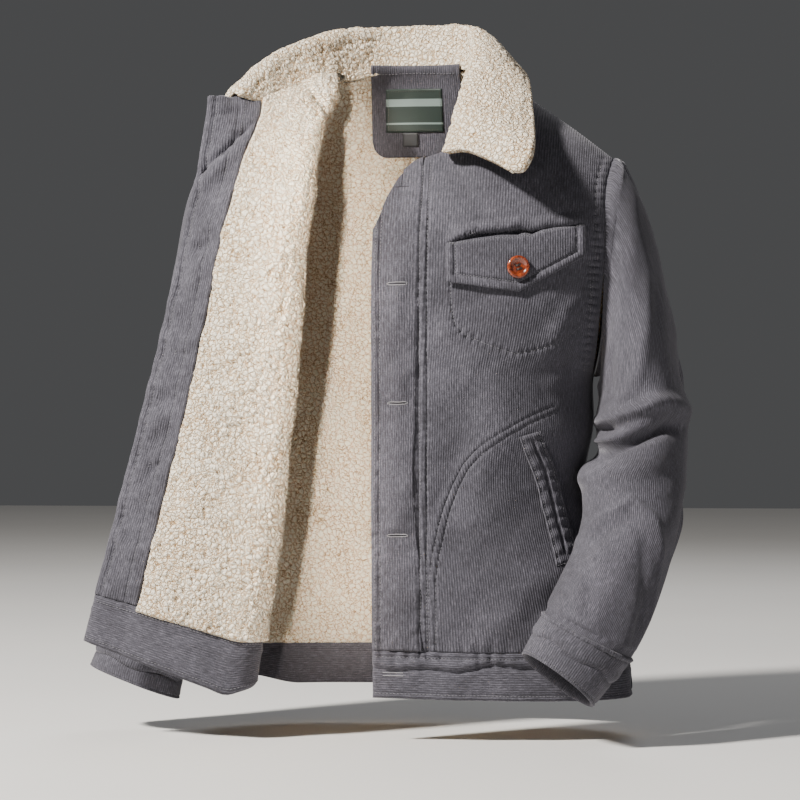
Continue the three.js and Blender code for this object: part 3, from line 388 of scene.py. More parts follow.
def left_front_grid(across, up, room=0.0):
    a, u = np.meshgrid(across, up)
    z_side = panel_z(SHELL_HEM_Z, shoulder_z(SHOULDER_HALF_WIDTH), u)
    even_x = mix(-FRONT_EDGE_OVERLAP, SHOULDER_HALF_WIDTH, a)
    # the columns crowd together where the neckline climbs to the shoulder
    top_x = np.where(even_x < 56, even_x, np.interp((even_x - 56) / (SHOULDER_HALF_WIDTH - 56),
                                                    [0, 0.068, 0.118, 0.167, 0.25, 1],
                                                    [56, 65, 70, 73, 75, SHOULDER_HALF_WIDTH]))
    z = panel_z(mix(SHELL_HEM_Z + 5, SHELL_HEM_Z, a), neck_top_z(top_x), u)
    x = mix(-FRONT_EDGE_OVERLAP, side_x(z_side, 1), a) + (top_x - even_x) * np.clip(u, 0, 1) ** 2
    y = np.where((a > 0.998) & (u < SIDE_SEAM_SHARE), SIDE_SEAM_Y + np.where(u < 0, BAND_LAP, -SEAM_GAP), front_y(x, z, room))
    y = np.where((u > 0.9985) & (x > NECK_HALF_WIDTH - 2), shoulder_y(x) - SEAM_GAP, y)
    return np.stack([x, y, z], -1)


def back_grid(across, up):
    a, u = np.meshgrid(across, up)
    side = np.where(a < 0, -1, 1)
    z_side = panel_z(SHELL_HEM_Z, shoulder_z(SHOULDER_HALF_WIDTH), u)
    z = panel_z(SHELL_HEM_Z, shoulder_z(np.abs(a) * SHOULDER_HALF_WIDTH), u)
    reach = np.where(side > 0, side_x(z_side, 1), side_x(z_side, -1))
    x = reach * a
    z = z + side_rise(x, u)
    y = np.where((np.abs(a) > 0.998) & (u < SIDE_SEAM_SHARE), SIDE_SEAM_Y - np.where(u < 0, BAND_LAP, -SEAM_GAP),
                 body_y(x, z, "back") + back_folds(x, z))
    y = np.where((u > 0.9985) & (np.abs(x) > NECK_HALF_WIDTH - 2), shoulder_y(x) + SEAM_GAP, y)
    return np.stack([x, y, z], -1)


def right_front_curve(up):
    """The right front at one height: side seam, roll, then flat out to the free edge."""
    z_side = float(panel_z(SHELL_HEM_Z, shoulder_z(SHOULDER_HALF_WIDTH), up))
    start = -float(side_x(np.array(z_side), -1))
    radius, roll, bow, ex, ey, ez = (
        float(read_rows(RIGHT_FRONT, "up", n, up)) for n in ("radius", "roll_x", "bow", "edge_x", "edge_y", "edge_z"))
    turn_x = roll - radius
    x = mix(start, turn_x, np.sin(np.arange(13) / 12 * np.pi / 2) ** 1.35)
    hem = mix(SHELL_HEM_Z, SHELL_HEM_Z + 15, (x - start) / (turn_x - start))
    z = panel_z(hem, shoulder_z(x), up)
    down = max(0.0, -up / BAND_SHARE)
    z = z + side_rise(x, up)
    y = body_y(x, z, "front")
    if up < SIDE_SEAM_SHARE:
        y[0] = SIDE_SEAM_Y + (BAND_LAP if up < 0 else -SEAM_GAP)
    if up > 0.9985:
        y = mix(shoulder_y(x) - SEAM_GAP, y, smooth((x - turn_x + 30) / 30))
    points = list(np.stack([x, y, z], -1))
    turn = points[-1]
    for i in range(1, 6):
        angle = math.pi * i / 5
        points.append(np.array([turn_x + radius * math.sin(angle) - 10 * down * i / 5,
                                turn[1] - radius * (1 - math.cos(angle)),
                                turn[2] + (ez - turn[2]) * 0.02 * i - (9 + 11) * down * i / 5]))
    flat, edge = points[-1].copy(), np.array([ex, ey, ez])
    for i in range(1, 9):
        p = mix(flat, edge, i / 8)
        p[1] -= bow * math.sin(math.pi * i / 8)
        level = mix(flat[2], ez, float(smooth(i / 8 / 0.55)))
        p[2] = mix(p[2], level, float(smooth((up - 0.85) / 0.15)))
        points.append(p)
    return dense_curve(np.array(points), 8)


def right_front_grid(shares, ups):
    """shares maps each column to its distance from the side seam: a function of the row's length."""
    rows = []
    for up in ups:
        curve, along = right_front_curve(float(up))
        rows.append(at_length(curve, along, shares(along[-1], up)))
    return np.array(rows)


def grid_normals(grid, turn, around=False):
    """Unit normals of a grid of points: columns crossed with rows."""
    if around:
        across = np.roll(grid, -1, 1) - np.roll(grid, 1, 1)
    else:
        across = np.gradient(grid, axis=1)
    n = np.cross(across, np.gradient(grid, axis=0)) * turn
    return n / np.maximum(np.linalg.norm(n, axis=-1, keepdims=True), 1e-9)


def front_grain(grid):
    """Wales hang upright on the fronts and back: width over the curve of the cloth, and height, in metres."""
    x, z = grid[..., 0], grid[..., 2]
    face = "back" if grid[..., 1].mean() > -60 else "front"
    share, level = np.sin(np.linspace(-np.pi / 2, np.pi / 2, 801)), np.full(801, -400.0)
    line = share * half_width(level, share)
    run = np.concatenate([[0], np.cumsum(np.hypot(np.diff(line), np.diff(body_y(line, level, face))))])
    return np.stack([np.interp(x / half_width(z, x), share, run - run[400]), z], -1) * 0.001


def edge_grain(from_edge, along):
    """Wales of the right front run beside its free edge."""
    return np.stack([from_edge, along], -1) * 0.001


def cloth_uv(grid, around=False):
    """Distances over the cloth in metres: across each row, and up the middle column."""
    if around:
        grid = np.concatenate([grid, grid[:, :1]], 1)
    across = np.linalg.norm(np.diff(grid, axis=1), axis=-1)
    u = np.concatenate([np.zeros((len(grid), 1)), np.cumsum(across, 1)], 1)
    if around:
        u = u / u[:, -1:] * u[:, -1].mean()
    middle = grid[:, grid.shape[1] // 2]
    v = np.concatenate([[0], np.cumsum(np.linalg.norm(np.diff(middle, axis=0), axis=1))])
    return np.stack([u, np.broadcast_to(v[:, None], u.shape)], -1) * 0.001


# ---------------------------------------------------------------- mesh building
def new_object(name, points_mm, faces, material, uv=None, uv_index=None, extra=None):
    """A mesh from points in mm and faces of any size, with smooth shading."""
    sizes = np.array([len(f) for f in faces], np.int32)
    loops = np.concatenate([np.asarray(f, np.int32) for f in faces]) if len(faces) else np.zeros(0, np.int32)
    mesh = bpy.data.meshes.new(name)
    mesh.vertices.add(len(points_mm))
    mesh.vertices.foreach_set("co", (np.asarray(points_mm, np.float32) * 0.001).ravel())
    mesh.loops.add(len(loops))
    mesh.loops.foreach_set("vertex_index", loops)
    mesh.polygons.add(len(sizes))
    if len(sizes):
        mesh.polygons.foreach_set("loop_start", (np.cumsum(sizes) - sizes).astype(np.int32))
        mesh.update(calc_edges=True)
        mesh.polygons.foreach_set("use_smooth", np.ones(len(sizes), bool))
    if uv is not None:
        index = loops if uv_index is None else np.concatenate([np.asarray(f, np.int32) for f in uv_index])
        mesh.uv_layers.new(name="grain").data.foreach_set("uv", uv[index].astype(np.float32).ravel())
    for key, values in (extra or {}).items():
        mesh.attributes.new(key, "FLOAT", "POINT").data.foreach_set("value", values.astype(np.float32).ravel())
    obj = bpy.data.objects.new(name, mesh)
    bpy.context.scene.collection.objects.link(obj)
    if material is not None:
        mesh.materials.append(material)
    return obj


def wall(name, outside, inside, uv, material, around=False, value=None):
    """A closed wall between two grids. The inner side has half as many lines each way."""
    rows, cols = outside.shape[:2]
    inner = inside[::2, ::2]
    in_rows, in_cols = inner.shape[:2]
    uv_cols, in_uv_cols = uv.shape[1], in_cols + (1 if around else 0)
    base, uv_base = rows * cols, rows * uv_cols
    vertex, texel = [], []

    def quads(r_count, c_count, columns, uv_columns, start, uv_start, flip):
        r, c = (g.ravel() for g in np.meshgrid(np.arange(r_count - 1), np.arange(c_count), indexing="ij"))
        corner_r = np.stack([r, r, r + 1, r + 1], 1)
        corner_c = np.stack([c, c + 1, c + 1, c], 1)
        if flip:
            corner_r, corner_c = corner_r[:, ::-1], corner_c[:, ::-1]
        vertex.extend(start + corner_r * columns + corner_c % columns)
        texel.extend(uv_start + corner_r * uv_columns + corner_c)

    quads(rows, cols if around else cols - 1, cols, uv_cols, 0, 0, False)
    quads(in_rows, in_cols if around else in_cols - 1, in_cols, in_uv_cols, base, uv_base, True)

    def rim(outer_line, inner_line, flip):
        for k in range(len(inner_line) - 1):
            (a, at), (b, bt), (c, ct) = outer_line[2 * k:2 * k + 3]
            (p, pt), (q, qt) = inner_line[k:k + 2]
            for tri, tex in (((b, a, p), (bt, at, pt)), ((b, p, q), (bt, pt, qt)), ((c, b, q), (ct, bt, qt))):
                vertex.append(tri[::-1] if flip else tri)
                texel.append(tex[::-1] if flip else tex)

    for row, in_row, flip in ((0, 0, False), (rows - 1, in_rows - 1, True)):
        last = cols + 1 if around else cols
        in_last = in_cols + 1 if around else in_cols
        rim([(row * cols + c % cols, row * uv_cols + c) for c in range(last)],
            [(base + in_row * in_cols + c % in_cols, uv_base + in_row * in_uv_cols + c) for c in range(in_last)], flip)
    if not around:
        for col, in_col, flip in ((0, 0, True), (cols - 1, in_cols - 1, False)):
            rim([(r * cols + col, r * uv_cols + col) for r in range(rows)],
                [(base + r * in_cols + in_col, uv_base + r * in_uv_cols + in_col) for r in range(in_rows)], flip)
    points = np.concatenate([outside.reshape(-1, 3), inner.reshape(-1, 3)])
    all_uv = np.concatenate([uv.reshape(-1, 2), uv[::2, ::2].reshape(-1, 2)])
    quad = np.array([f for f in vertex if len(f) == 4])
    a, b, c, d = (points[quad[:, k]] for k in range(4))
    volume = (np.cross(a, b) * c).sum() + (np.cross(a, c) * d).sum()
    if volume < 0:
        vertex, texel = [f[::-1] for f in vertex], [f[::-1] for f in texel]
    extra = None
    # pile, where given, is the tufts' height, which the sherpa finish turns into painted shade in the crevices
    if value is not None:
        extra = {"pile": np.concatenate([value.ravel(), np.zeros(inner.shape[0] * inner.shape[1])])}
    return new_object(name, points, vertex, material, all_uv, texel, extra)


def rounded(distance_out, distance_in, shape, soften=0.35, sides="all"):
    """Offsets for a wall whose rim is a little rounded."""
    thick = distance_out - distance_in
    out, inn = np.full(shape, float(distance_out)), np.full(shape, float(distance_in))
    for cut in ((0, slice(None)), (-1, slice(None)), (slice(None), 0), (slice(None), -1)):
        if sides == "ends" and cut[1] in (0, -1):
            continue
        out[cut] = distance_out - soften * thick
        inn[cut] = distance_in + soften * thick
    return out, inn


def cloth_wall(name, grid, normals, reach, material, around=False, uv=None):
    """An even wall of corduroy between two offsets from its grid."""
    out, inn = rounded(reach[1], reach[0], grid.shape[:2], sides="ends" if around else "all")
    uv = cloth_uv(grid, around) if uv is None else uv
    return wall(name, grid + normals * out[..., None], grid + normals * inn[..., None], uv, material, around)


def sherpa_wall(name, grid, normals, base_at, pile_at, height=2.6, seed=40, edge=None, press=None):
    """A sherpa wall: its pile side is a field of tufts. press flattens the tufts where something is sewn on."""
    uv = cloth_uv(grid)
    lumps = soft_noise(uv[..., 0] * 1000, uv[..., 1] * 1000, 15, seed + 9)
    tuft = tufts(grid, CURL_SIZE, seed)
    sign = 1 if pile_at > base_at else -1
    rise = height * (tuft - 0.5) + 0.9 * lumps
    if press is not None:
        rise = rise * (1 - press) - 1.2 * press
    thick = abs(pile_at - base_at)
    depth = thick + rise
    if edge:
        lines = np.full(rise.shape, 1e9)
        for side, index in (("low", (0, slice(None))), ("high", (-1, slice(None))),
                            ("start", (slice(None), 0)), ("end", (slice(None), -1))):
            if side in edge:
                border = grid[index]
                away = np.linalg.norm(grid - (border[None] if side in ("low", "high") else border[:, None]), axis=-1)
                lines = np.minimum(lines, away)
        curve = np.sqrt(np.clip(1 - (1 - np.clip(lines / (thick * 0.9), 0, 1)) ** 2, 0.04, 1))
        depth = depth * curve
    # pile: the tufts' height, which the sherpa finish turns into painted shade in the crevices and a painted highlight
    # on the tops
    pile = np.clip(tuft + 0.12 * lumps, 0, 1)
    outside = grid + normals * (base_at + sign * depth)[..., None]
    inside = grid + normals * base_at
    return wall(name, outside, inside, uv, sherpa, value=pile)


# ---------------------------------------------------------------- finishes
def srgb(code):
    parts = [int(code[i:i + 2], 16) / 255 for i in (1, 3, 5)]
    return [c / 12.92 if c <= 0.04045 else ((c + 0.055) / 1.055) ** 2.4 for c in parts] + [1.0]


def add(tree, kind, settings=None, inputs=None):
    """Adds a node, sets its settings, and links or fills its inputs."""
    node = tree.nodes.new(kind)
    for key, value in (settings or {}).items():
        setattr(node, key, value)
    for key, value in (inputs or {}).items():
        if isinstance(value, bpy.types.NodeSocket):
            tree.links.new(value, node.inputs[key])
        else:
            node.inputs[key].default_value = value
    return node


def new_finish(name, constants):
    material = bpy.data.materials.new(name)
    material.use_nodes = True
    tree = material.node_tree
    shader = tree.nodes["Principled BSDF"]
    for key, value in constants.items():
        shader.inputs[key].default_value = value
    return material, tree, shader


def colour_steps(tree, factor, stops):
    """A colour ramp with stops at (place, hex colour)."""
    node = add(tree, "ShaderNodeValToRGB", None, {0: factor})
    ramp = node.color_ramp
    while len(ramp.elements) < len(stops):
        ramp.elements.new(0.5)
    for element, (place, code) in zip(ramp.elements, stops):
        element.position = place
        element.color = srgb(code)
    return node.outputs[0]


def corduroy_finish(name):
    """Napped cotton corduroy: ridges of pile along the grain, darker in the valleys between them, partly where the
    ground shows and partly painted shade, with heathered streaks where the pile catches light, and worn paler in soft
    patches."""
    material, tree, shader = new_finish(name, {"Roughness": 0.88, "Sheen Weight": 0.22, "Sheen Roughness": 0.45,
                                               "Sheen Tint": srgb("#D6D4DC"), "Specular IOR Level": 0.25})
    grain = add(tree, "ShaderNodeUVMap", {"uv_map": "grain"}).outputs[0]
    wander = add(tree, "ShaderNodeTexNoise", None, {"Vector": grain, "Scale": 45.0, "Detail": 1.0}).outputs["Fac"]
    split = add(tree, "ShaderNodeSeparateXYZ", None, {0: grain})
    turns = add(tree, "ShaderNodeMath", {"operation": "MULTIPLY"},
                {0: split.outputs[0], 1: 2 * math.pi * 1000 / WALE_WIDTH}).outputs[0]
    phase = add(tree, "ShaderNodeMath", {"operation": "MULTIPLY_ADD"}, {0: wander, 1: 0.7, 2: turns}).outputs[0]
    wave = add(tree, "ShaderNodeMath", {"operation": "SINE"}, {0: phase}).outputs[0]
    ridge = add(tree, "ShaderNodeMath", {"operation": "MULTIPLY_ADD"}, {0: wave, 1: 0.5, 2: 0.5}).outputs[0]
    stretched = add(tree, "ShaderNodeMapping", None, {"Vector": grain, "Scale": (850.0, 130.0, 1.0)}).outputs[0]
    streaks = add(tree, "ShaderNodeTexNoise", None,
                  {"Vector": stretched, "Scale": 1.0, "Detail": 3.0, "Roughness": 0.6}).outputs["Fac"]
    nap = add(tree, "ShaderNodeTexNoise", None,
              {"Vector": grain, "Scale": 620.0, "Detail": 2.0, "Roughness": 0.7}).outputs["Fac"]
    patches = add(tree, "ShaderNodeTexNoise", None,
                  {"Vector": grain, "Scale": 13.0, "Detail": 2.0, "Roughness": 0.5}).outputs["Fac"]
    lift = add(tree, "ShaderNodeMath", {"operation": "MULTIPLY_ADD"}, {0: streaks, 1: 1.15, 2: -0.6}).outputs[0]
    lift = add(tree, "ShaderNodeMath", {"operation": "MULTIPLY_ADD"}, {0: nap, 1: 0.62, 2: lift}).outputs[0]
    lift = add(tree, "ShaderNodeMath", {"operation": "MULTIPLY_ADD"}, {0: patches, 1: 0.5, 2: lift}).outputs[0]
    # the wale ridges lighten the colour a little, so painted shade darkens the valleys between them
    shade = add(tree, "ShaderNodeMath", {"operation": "MULTIPLY_ADD"}, {0: ridge, 1: 0.16, 2: lift}).outputs[0]
    colour = colour_steps(tree, shade, [(0.0, "#1D1C21"), (0.36, "#323137"), (0.66, "#46454D"), (1.0, "#67656F")])
    tree.links.new(colour, shader.inputs["Base Color"])
    height = add(tree, "ShaderNodeMath", {"operation": "MULTIPLY_ADD"}, {0: nap, 1: 0.8, 2: ridge}).outputs[0]
    bump = add(tree, "ShaderNodeBump", None, {"Strength": 0.55, "Distance": 0.0006, "Height": height}).outputs[0]
    tree.links.new(bump, shader.inputs["Normal"])
    return material


def sherpa_finish():
    """Curly polyester pile: small cream tufts, their tops lightened as a painted highlight and their crevices painted
    brown as painted shade where no light reaches.
    """
    material, tree, shader = new_finish("sherpa_curly_polyester_pile", {
        "Roughness": 0.95, "Sheen Weight": 0.18, "Sheen Roughness": 0.5, "Sheen Tint": srgb("#FFEBCF"),
        "Specular IOR Level": 0.12})
    place = add(tree, "ShaderNodeTexCoord").outputs["Object"]
    pile = add(tree, "ShaderNodeAttribute", {"attribute_name": "pile"}).outputs["Fac"]
    wander = add(tree, "ShaderNodeTexNoise", None, {"Vector": place, "Scale": 260.0, "Detail": 2.0}).outputs["Color"]
    bent = add(tree, "ShaderNodeVectorMath", {"operation": "MULTIPLY_ADD"},
               {0: wander, 1: (0.0058, 0.0058, 0.0058), 2: place}).outputs[0]
    gap = add(tree, "ShaderNodeTexVoronoi", {"feature": "DISTANCE_TO_EDGE"},
              {"Vector": bent, "Scale": 195.0}).outputs["Distance"]
    near = add(tree, "ShaderNodeMath", {"operation": "MULTIPLY", "use_clamp": True}, {0: gap, 1: 3.6}).outputs[0]
    curl = add(tree, "ShaderNodeMath", {"operation": "POWER"}, {0: near, 1: 0.6}).outputs[0]
    strand = add(tree, "ShaderNodeTexNoise", None,
                 {"Vector": bent, "Scale": 900.0, "Detail": 2.0, "Roughness": 0.7, "Distortion": 0.8}).outputs["Fac"]
    soft = add(tree, "ShaderNodeTexNoise", None, {"Vector": place, "Scale": 30.0, "Detail": 2.0}).outputs["Fac"]
    # the tufts' height sets the colour: a painted highlight on their tops, painted shade in the crevices between them
    tip = add(tree, "ShaderNodeMath", {"operation": "MULTIPLY_ADD"}, {0: curl, 1: 0.85, 2: 0.0}).outputs[0]
    height = add(tree, "ShaderNodeMath", {"operation": "MULTIPLY_ADD"}, {0: strand, 1: 0.5, 2: tip}).outputs[0]
    # pile, the height of the geometric tufts, adds more painted shade in their crevices
    shade = add(tree, "ShaderNodeMath", {"operation": "MULTIPLY_ADD"}, {0: pile, 1: 0.2, 2: height}).outputs[0]
    shade = add(tree, "ShaderNodeMath", {"operation": "MULTIPLY_ADD"}, {0: soft, 1: 0.25, 2: shade}).outputs[0]
    shade = add(tree, "ShaderNodeMath", {"operation": "SUBTRACT"}, {0: shade, 1: 0.36}).outputs[0]
    # the darkest stops are painted shade in the crevices, the palest a painted highlight on the tufts' tops
    colour = colour_steps(tree, shade, [(0.0, "#5E4029"), (0.22, "#BF9768"), (0.45, "#FBE3C2"), (0.8, "#FFF6E4")])
    tree.links.new(colour, shader.inputs["Base Color"])
    bump = add(tree, "ShaderNodeBump", None, {"Strength": 1.0, "Distance": 0.0038, "Height": height}).outputs[0]
    tree.links.new(bump, shader.inputs["Normal"])
    return material


def thread_finish(name, code):
    """Twisted polyester sewing thread: a slight shine, with the twist as fine slanted bands."""
    material, tree, shader = new_finish(name, {"Roughness": 0.6, "Sheen Weight": 0.1})
    place = add(tree, "ShaderNodeTexCoord").outputs["Object"]
    twist = add(tree, "ShaderNodeTexWave", {"bands_direction": "DIAGONAL"},
                {"Vector": place, "Scale": 900.0, "Distortion": 1.0}).outputs["Fac"]
    dark = "#" + "".join("%02X" % int(int(code[i:i + 2], 16) * 0.72) for i in (1, 3, 5))
    tree.links.new(colour_steps(tree, twist, [(0.0, dark), (1.0, code)]), shader.inputs["Base Color"])
    return material


def label_finish():
    """Woven satin label with two plain pale bands: fine cross ribs, a little shine."""
    material, tree, shader = new_finish("neck_label_woven_satin", {"Roughness": 0.5, "Specular IOR Level": 0.45})
    grain = add(tree, "ShaderNodeUVMap", {"uv_map": "grain"}).outputs[0]
    split = add(tree, "ShaderNodeSeparateXYZ", None, {0: grain})
    down = split.outputs[1]
    weave = add(tree, "ShaderNodeTexWave", {"bands_direction": "Y"},
                {"Vector": grain, "Scale": 380.0, "Distortion": 0.6, "Detail": 1.0}).outputs["Fac"]
    ground = colour_steps(tree, weave, [(0.0, "#121C19"), (1.0, "#1F312B")])
    pale = colour_steps(tree, weave, [(0.0, "#5D6C6A"), (1.0, "#82918F")])
    bands = None
    for low, high in ((0.0105, 0.0185), (0.0355, 0.0375)):
        above = add(tree, "ShaderNodeMath", {"operation": "GREATER_THAN"}, {0: down, 1: low}).outputs[0]
        below = add(tree, "ShaderNodeMath", {"operation": "LESS_THAN"}, {0: down, 1: high}).outputs[0]
        band = add(tree, "ShaderNodeMath", {"operation": "MULTIPLY"}, {0: above, 1: below}).outputs[0]
        bands = band if bands is None else add(
            tree, "ShaderNodeMath", {"operation": "ADD"}, {0: bands, 1: band}).outputs[0]
    mixed = add(tree, "ShaderNodeMix", {"data_type": "RGBA"}, {"Factor": bands, 6: ground, 7: pale}).outputs[2]
    tree.links.new(mixed, shader.inputs["Base Color"])
    bump = add(tree, "ShaderNodeBump", None, {"Strength": 0.4, "Distance": 0.0001, "Height": weave}).outputs[0]
    tree.links.new(bump, shader.inputs["Normal"])
    return material


def tag_finish():
    """Size tag of plain woven tape: near black, fine ribs."""
    material, tree, shader = new_finish("size_tag_woven_tape", {"Roughness": 0.6})
    grain = add(tree, "ShaderNodeUVMap", {"uv_map": "grain"}).outputs[0]
    weave = add(tree, "ShaderNodeTexWave", {"bands_direction": "X"},
                {"Vector": grain, "Scale": 420.0, "Distortion": 0.4}).outputs["Fac"]
    tree.links.new(colour_steps(tree, weave, [(0.0, "#17181A"), (1.0, "#2E2F33")]), shader.inputs["Base Color"])
    bump = add(tree, "ShaderNodeBump", None, {"Strength": 0.4, "Distance": 0.0001, "Height": weave}).outputs[0]
    tree.links.new(bump, shader.inputs["Normal"])
    return material


def button_finish():
    """Polished polyester resin button: brown with darker marbled veins under a clear gloss."""
    material, tree, shader = new_finish("button_marbled_resin", {
        "Roughness": 0.22, "Coat Weight": 0.6, "Coat Roughness": 0.08, "IOR": 1.52})
    place = add(tree, "ShaderNodeTexCoord").outputs["Object"]
    veins = add(tree, "ShaderNodeTexNoise", None,
                {"Vector": place, "Scale": 150.0, "Detail": 4.0, "Distortion": 2.2}).outputs["Fac"]
    colour = colour_steps(tree, veins, [(0.3, "#35130A"), (0.5, "#6E2D16"), (0.68, "#95451F")])
    tree.links.new(colour, shader.inputs["Base Color"])
    return material


corduroy = corduroy_finish("corduroy_napped_cotton")
sherpa = sherpa_finish()
grey_thread = thread_finish("sewing_thread_grey", "#737279")
pale_thread = thread_finish("buttonhole_thread_pale", "#8E8D93")
dark_thread = thread_finish("button_thread_dark", "#3B2A24")
label = label_finish()
tag = tag_finish()
button_resin = button_finish()


# ---------------------------------------------------------------- sewing
def stitch_tree():
    """Lays one thread stitch at every point, along and on the cloth."""
    tree = bpy.data.node_groups.new("lay_stitches", "GeometryNodeTree")
    ports = tree.interface
    ports.new_socket("Seam points", in_out="INPUT", socket_type="NodeSocketGeometry")
    for name, value in (("Stitch length", STITCH_LENGTH * 0.001), ("Thread radius", THREAD_RADIUS * 0.001)):
        ports.new_socket(name, in_out="INPUT", socket_type="NodeSocketFloat").default_value = value
    ports.new_socket("Thread", in_out="INPUT", socket_type="NodeSocketMaterial")
    ports.new_socket("Stitches", in_out="OUTPUT", socket_type="NodeSocketGeometry")
    given = add(tree, "NodeGroupInput")
    along = add(tree, "GeometryNodeInputNamedAttribute", {"data_type": "FLOAT_VECTOR"}, {"Name": "along"})
    facing = add(tree, "GeometryNodeInputNamedAttribute", {"data_type": "FLOAT_VECTOR"}, {"Name": "facing"})
    turn = add(tree, "FunctionNodeAxesToRotation", {"primary_axis": "Z", "secondary_axis": "X"},
               {0: along.outputs[0], 1: facing.outputs[0]})
    half = add(tree, "ShaderNodeMath", {"operation": "MULTIPLY"}, {0: given.outputs["Stitch length"], 1: 0.5})
    size = add(tree, "ShaderNodeCombineXYZ", None,
               {0: given.outputs["Thread radius"], 1: given.outputs["Thread radius"], 2: half.outputs[0]})
    thread = add(tree, "GeometryNodeMeshIcoSphere", None, {"Radius": 1.0, "Subdivisions": 1})
    laid = add(tree, "GeometryNodeInstanceOnPoints", None, {
        "Points": given.outputs["Seam points"], "Instance": thread.outputs[0],
        "Rotation": turn.outputs[0], "Scale": size.outputs[0]})
    real = add(tree, "GeometryNodeRealizeInstances", None, {0: laid.outputs[0]})
    smooth_shade = add(tree, "GeometryNodeSetShadeSmooth", None, {0: real.outputs[0]})
    coloured = add(tree, "GeometryNodeSetMaterial", None,
                   {0: smooth_shade.outputs[0], "Material": given.outputs["Thread"]})
    add(tree, "NodeGroupOutput", None, {0: coloured.outputs[0]})
    return tree


STITCHES = stitch_tree()


def sewn(name, runs, thread, length=STITCH_LENGTH, pitch=STITCH_PITCH, radius=THREAD_RADIUS):
    """One mesh of stitches along runs, each a pair of points and normals in mm."""
    centres, alongs, facings = [], [], []
    for points, normals in runs:
        run = np.concatenate([[0], np.cumsum(np.linalg.norm(np.diff(points, axis=0), axis=1))])
        if run[-1] < length:
            continue
        at = np.arange(length * 0.6, run[-1] - length * 0.5, pitch)
        read = lambda values, where: np.stack([np.interp(where, run, values[:, k]) for k in range(3)], -1)
        centres.append(read(points, at))
        alongs.append(read(points, at + length * 0.3) - read(points, at - length * 0.3))
        facings.append(read(normals, at))
    carrier = new_object(name + "_points", np.vstack(centres), [], None)
    for key, values in (("along", alongs), ("facing", facings)):
        layer = carrier.data.attributes.new(key, "FLOAT_VECTOR", "POINT")
        layer.data.foreach_set("vector", np.vstack(values).astype(np.float32).ravel())
    modifier = carrier.modifiers.new("lay_stitches", "NODES")
    modifier.node_group = STITCHES
    values = {"Stitch length": length * 0.001, "Thread radius": radius * 0.001, "Thread": thread}
    for item in STITCHES.interface.items_tree:
        if item.name in values:
            modifier[item.identifier] = values[item.name]
    bpy.context.view_layer.update()
    laid = carrier.evaluated_get(bpy.context.evaluated_depsgraph_get())
    mesh = bpy.data.meshes.new_from_object(laid)
    mesh.name = name
    obj = bpy.data.objects.new(name, mesh)
    bpy.context.scene.collection.objects.link(obj)
    bpy.data.objects.remove(carrier)
    return obj


def line_points(points, spacing=2.0):
    """A drawn line with close, even points."""
    p = np.array(points, float)
    run = np.concatenate([[0], np.cumsum(np.linalg.norm(np.diff(p, axis=0), axis=1))])
    at = np.linspace(0, run[-1], max(2, int(run[-1] / spacing)))
    return np.stack([np.interp(at, run, p[:, k]) for k in range(p.shape[1])], -1)


def front_run(points, lift):
    p = line_points(points)
    return front_place(p[:, 0], p[:, 1], np.full(len(p), lift))


def grid_run(grid, normals, row, column, lift):
    """A run over a grid at fractional rows and columns."""
    row, column = np.broadcast_arrays(np.asarray(row, float), np.asarray(column, float))
    r = np.clip(np.floor(row).astype(int), 0, grid.shape[0] - 2)
    c = np.floor(column).astype(int)
    fr, fc = (row - r)[:, None], (column - c)[:, None]
    n_cols = grid.shape[1]
    def read(g):
        low = mix(g[r, c % n_cols], g[r, (c + 1) % n_cols], fc)
        return mix(low, mix(g[r + 1, c % n_cols], g[r + 1, (c + 1) % n_cols], fc), fr)
    n = read(normals)
    return read(grid) + n * lift, n


def finish_piece(obj, slot, *nodes):
    """Rides on the one body and stands for its solids. The slot argument is not used."""
    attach(obj, "root")
    if nodes:
        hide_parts(*nodes)
    return obj


def shoulder_normals(grid, normals):
    """Along the shoulder seam, front and back share one upward normal."""
    x = grid[-1, :, 0]
    held = np.abs(x) > NECK_HALF_WIDTH - 2
    normals[-1, held] = np.stack([np.sign(x[held]) * 0.53, np.zeros(held.sum()), np.full(held.sum(), 0.85)], -1)
    return normals / np.linalg.norm(normals, axis=-1, keepdims=True)


PLACKET_END = PLACKET_WIDTH / (SHOULDER_HALF_WIDTH + FRONT_EDGE_OVERLAP)
EDGE_IN = 0.00012

# ---------------------------------------------------------------- left front
grid = left_front_grid(np.linspace(0, 1 - EDGE_IN, 161), np.linspace(0.0003, 0.999, 381))
left_front = cloth_wall("left_front_shell_cloth", grid, shoulder_normals(grid, grid_normals(grid, 1)),
                        (SHELL_FROM, SHELL_TO), corduroy, uv=front_grain(grid))
grid = left_front_grid(np.linspace(PLACKET_END + 0.001, 1 - 0.0006, 75), np.linspace(-0.008, 0.994, 221), room=3.0)
left_lining = sherpa_wall("left_front_lining_sherpa", grid, shoulder_normals(grid, grid_normals(grid, 1)),
                          LINING_FROM, LINING_TO, seed=61)
grid = left_front_grid(np.linspace(0, PLACKET_END - 0.001, 25), np.linspace(0.0003, 0.999, 181))
left_facing = cloth_wall("left_facing_cloth", grid, grid_normals(grid, 1), (FACING_TO, LINING_FROM), corduroy,
                         uv=front_grain(grid))


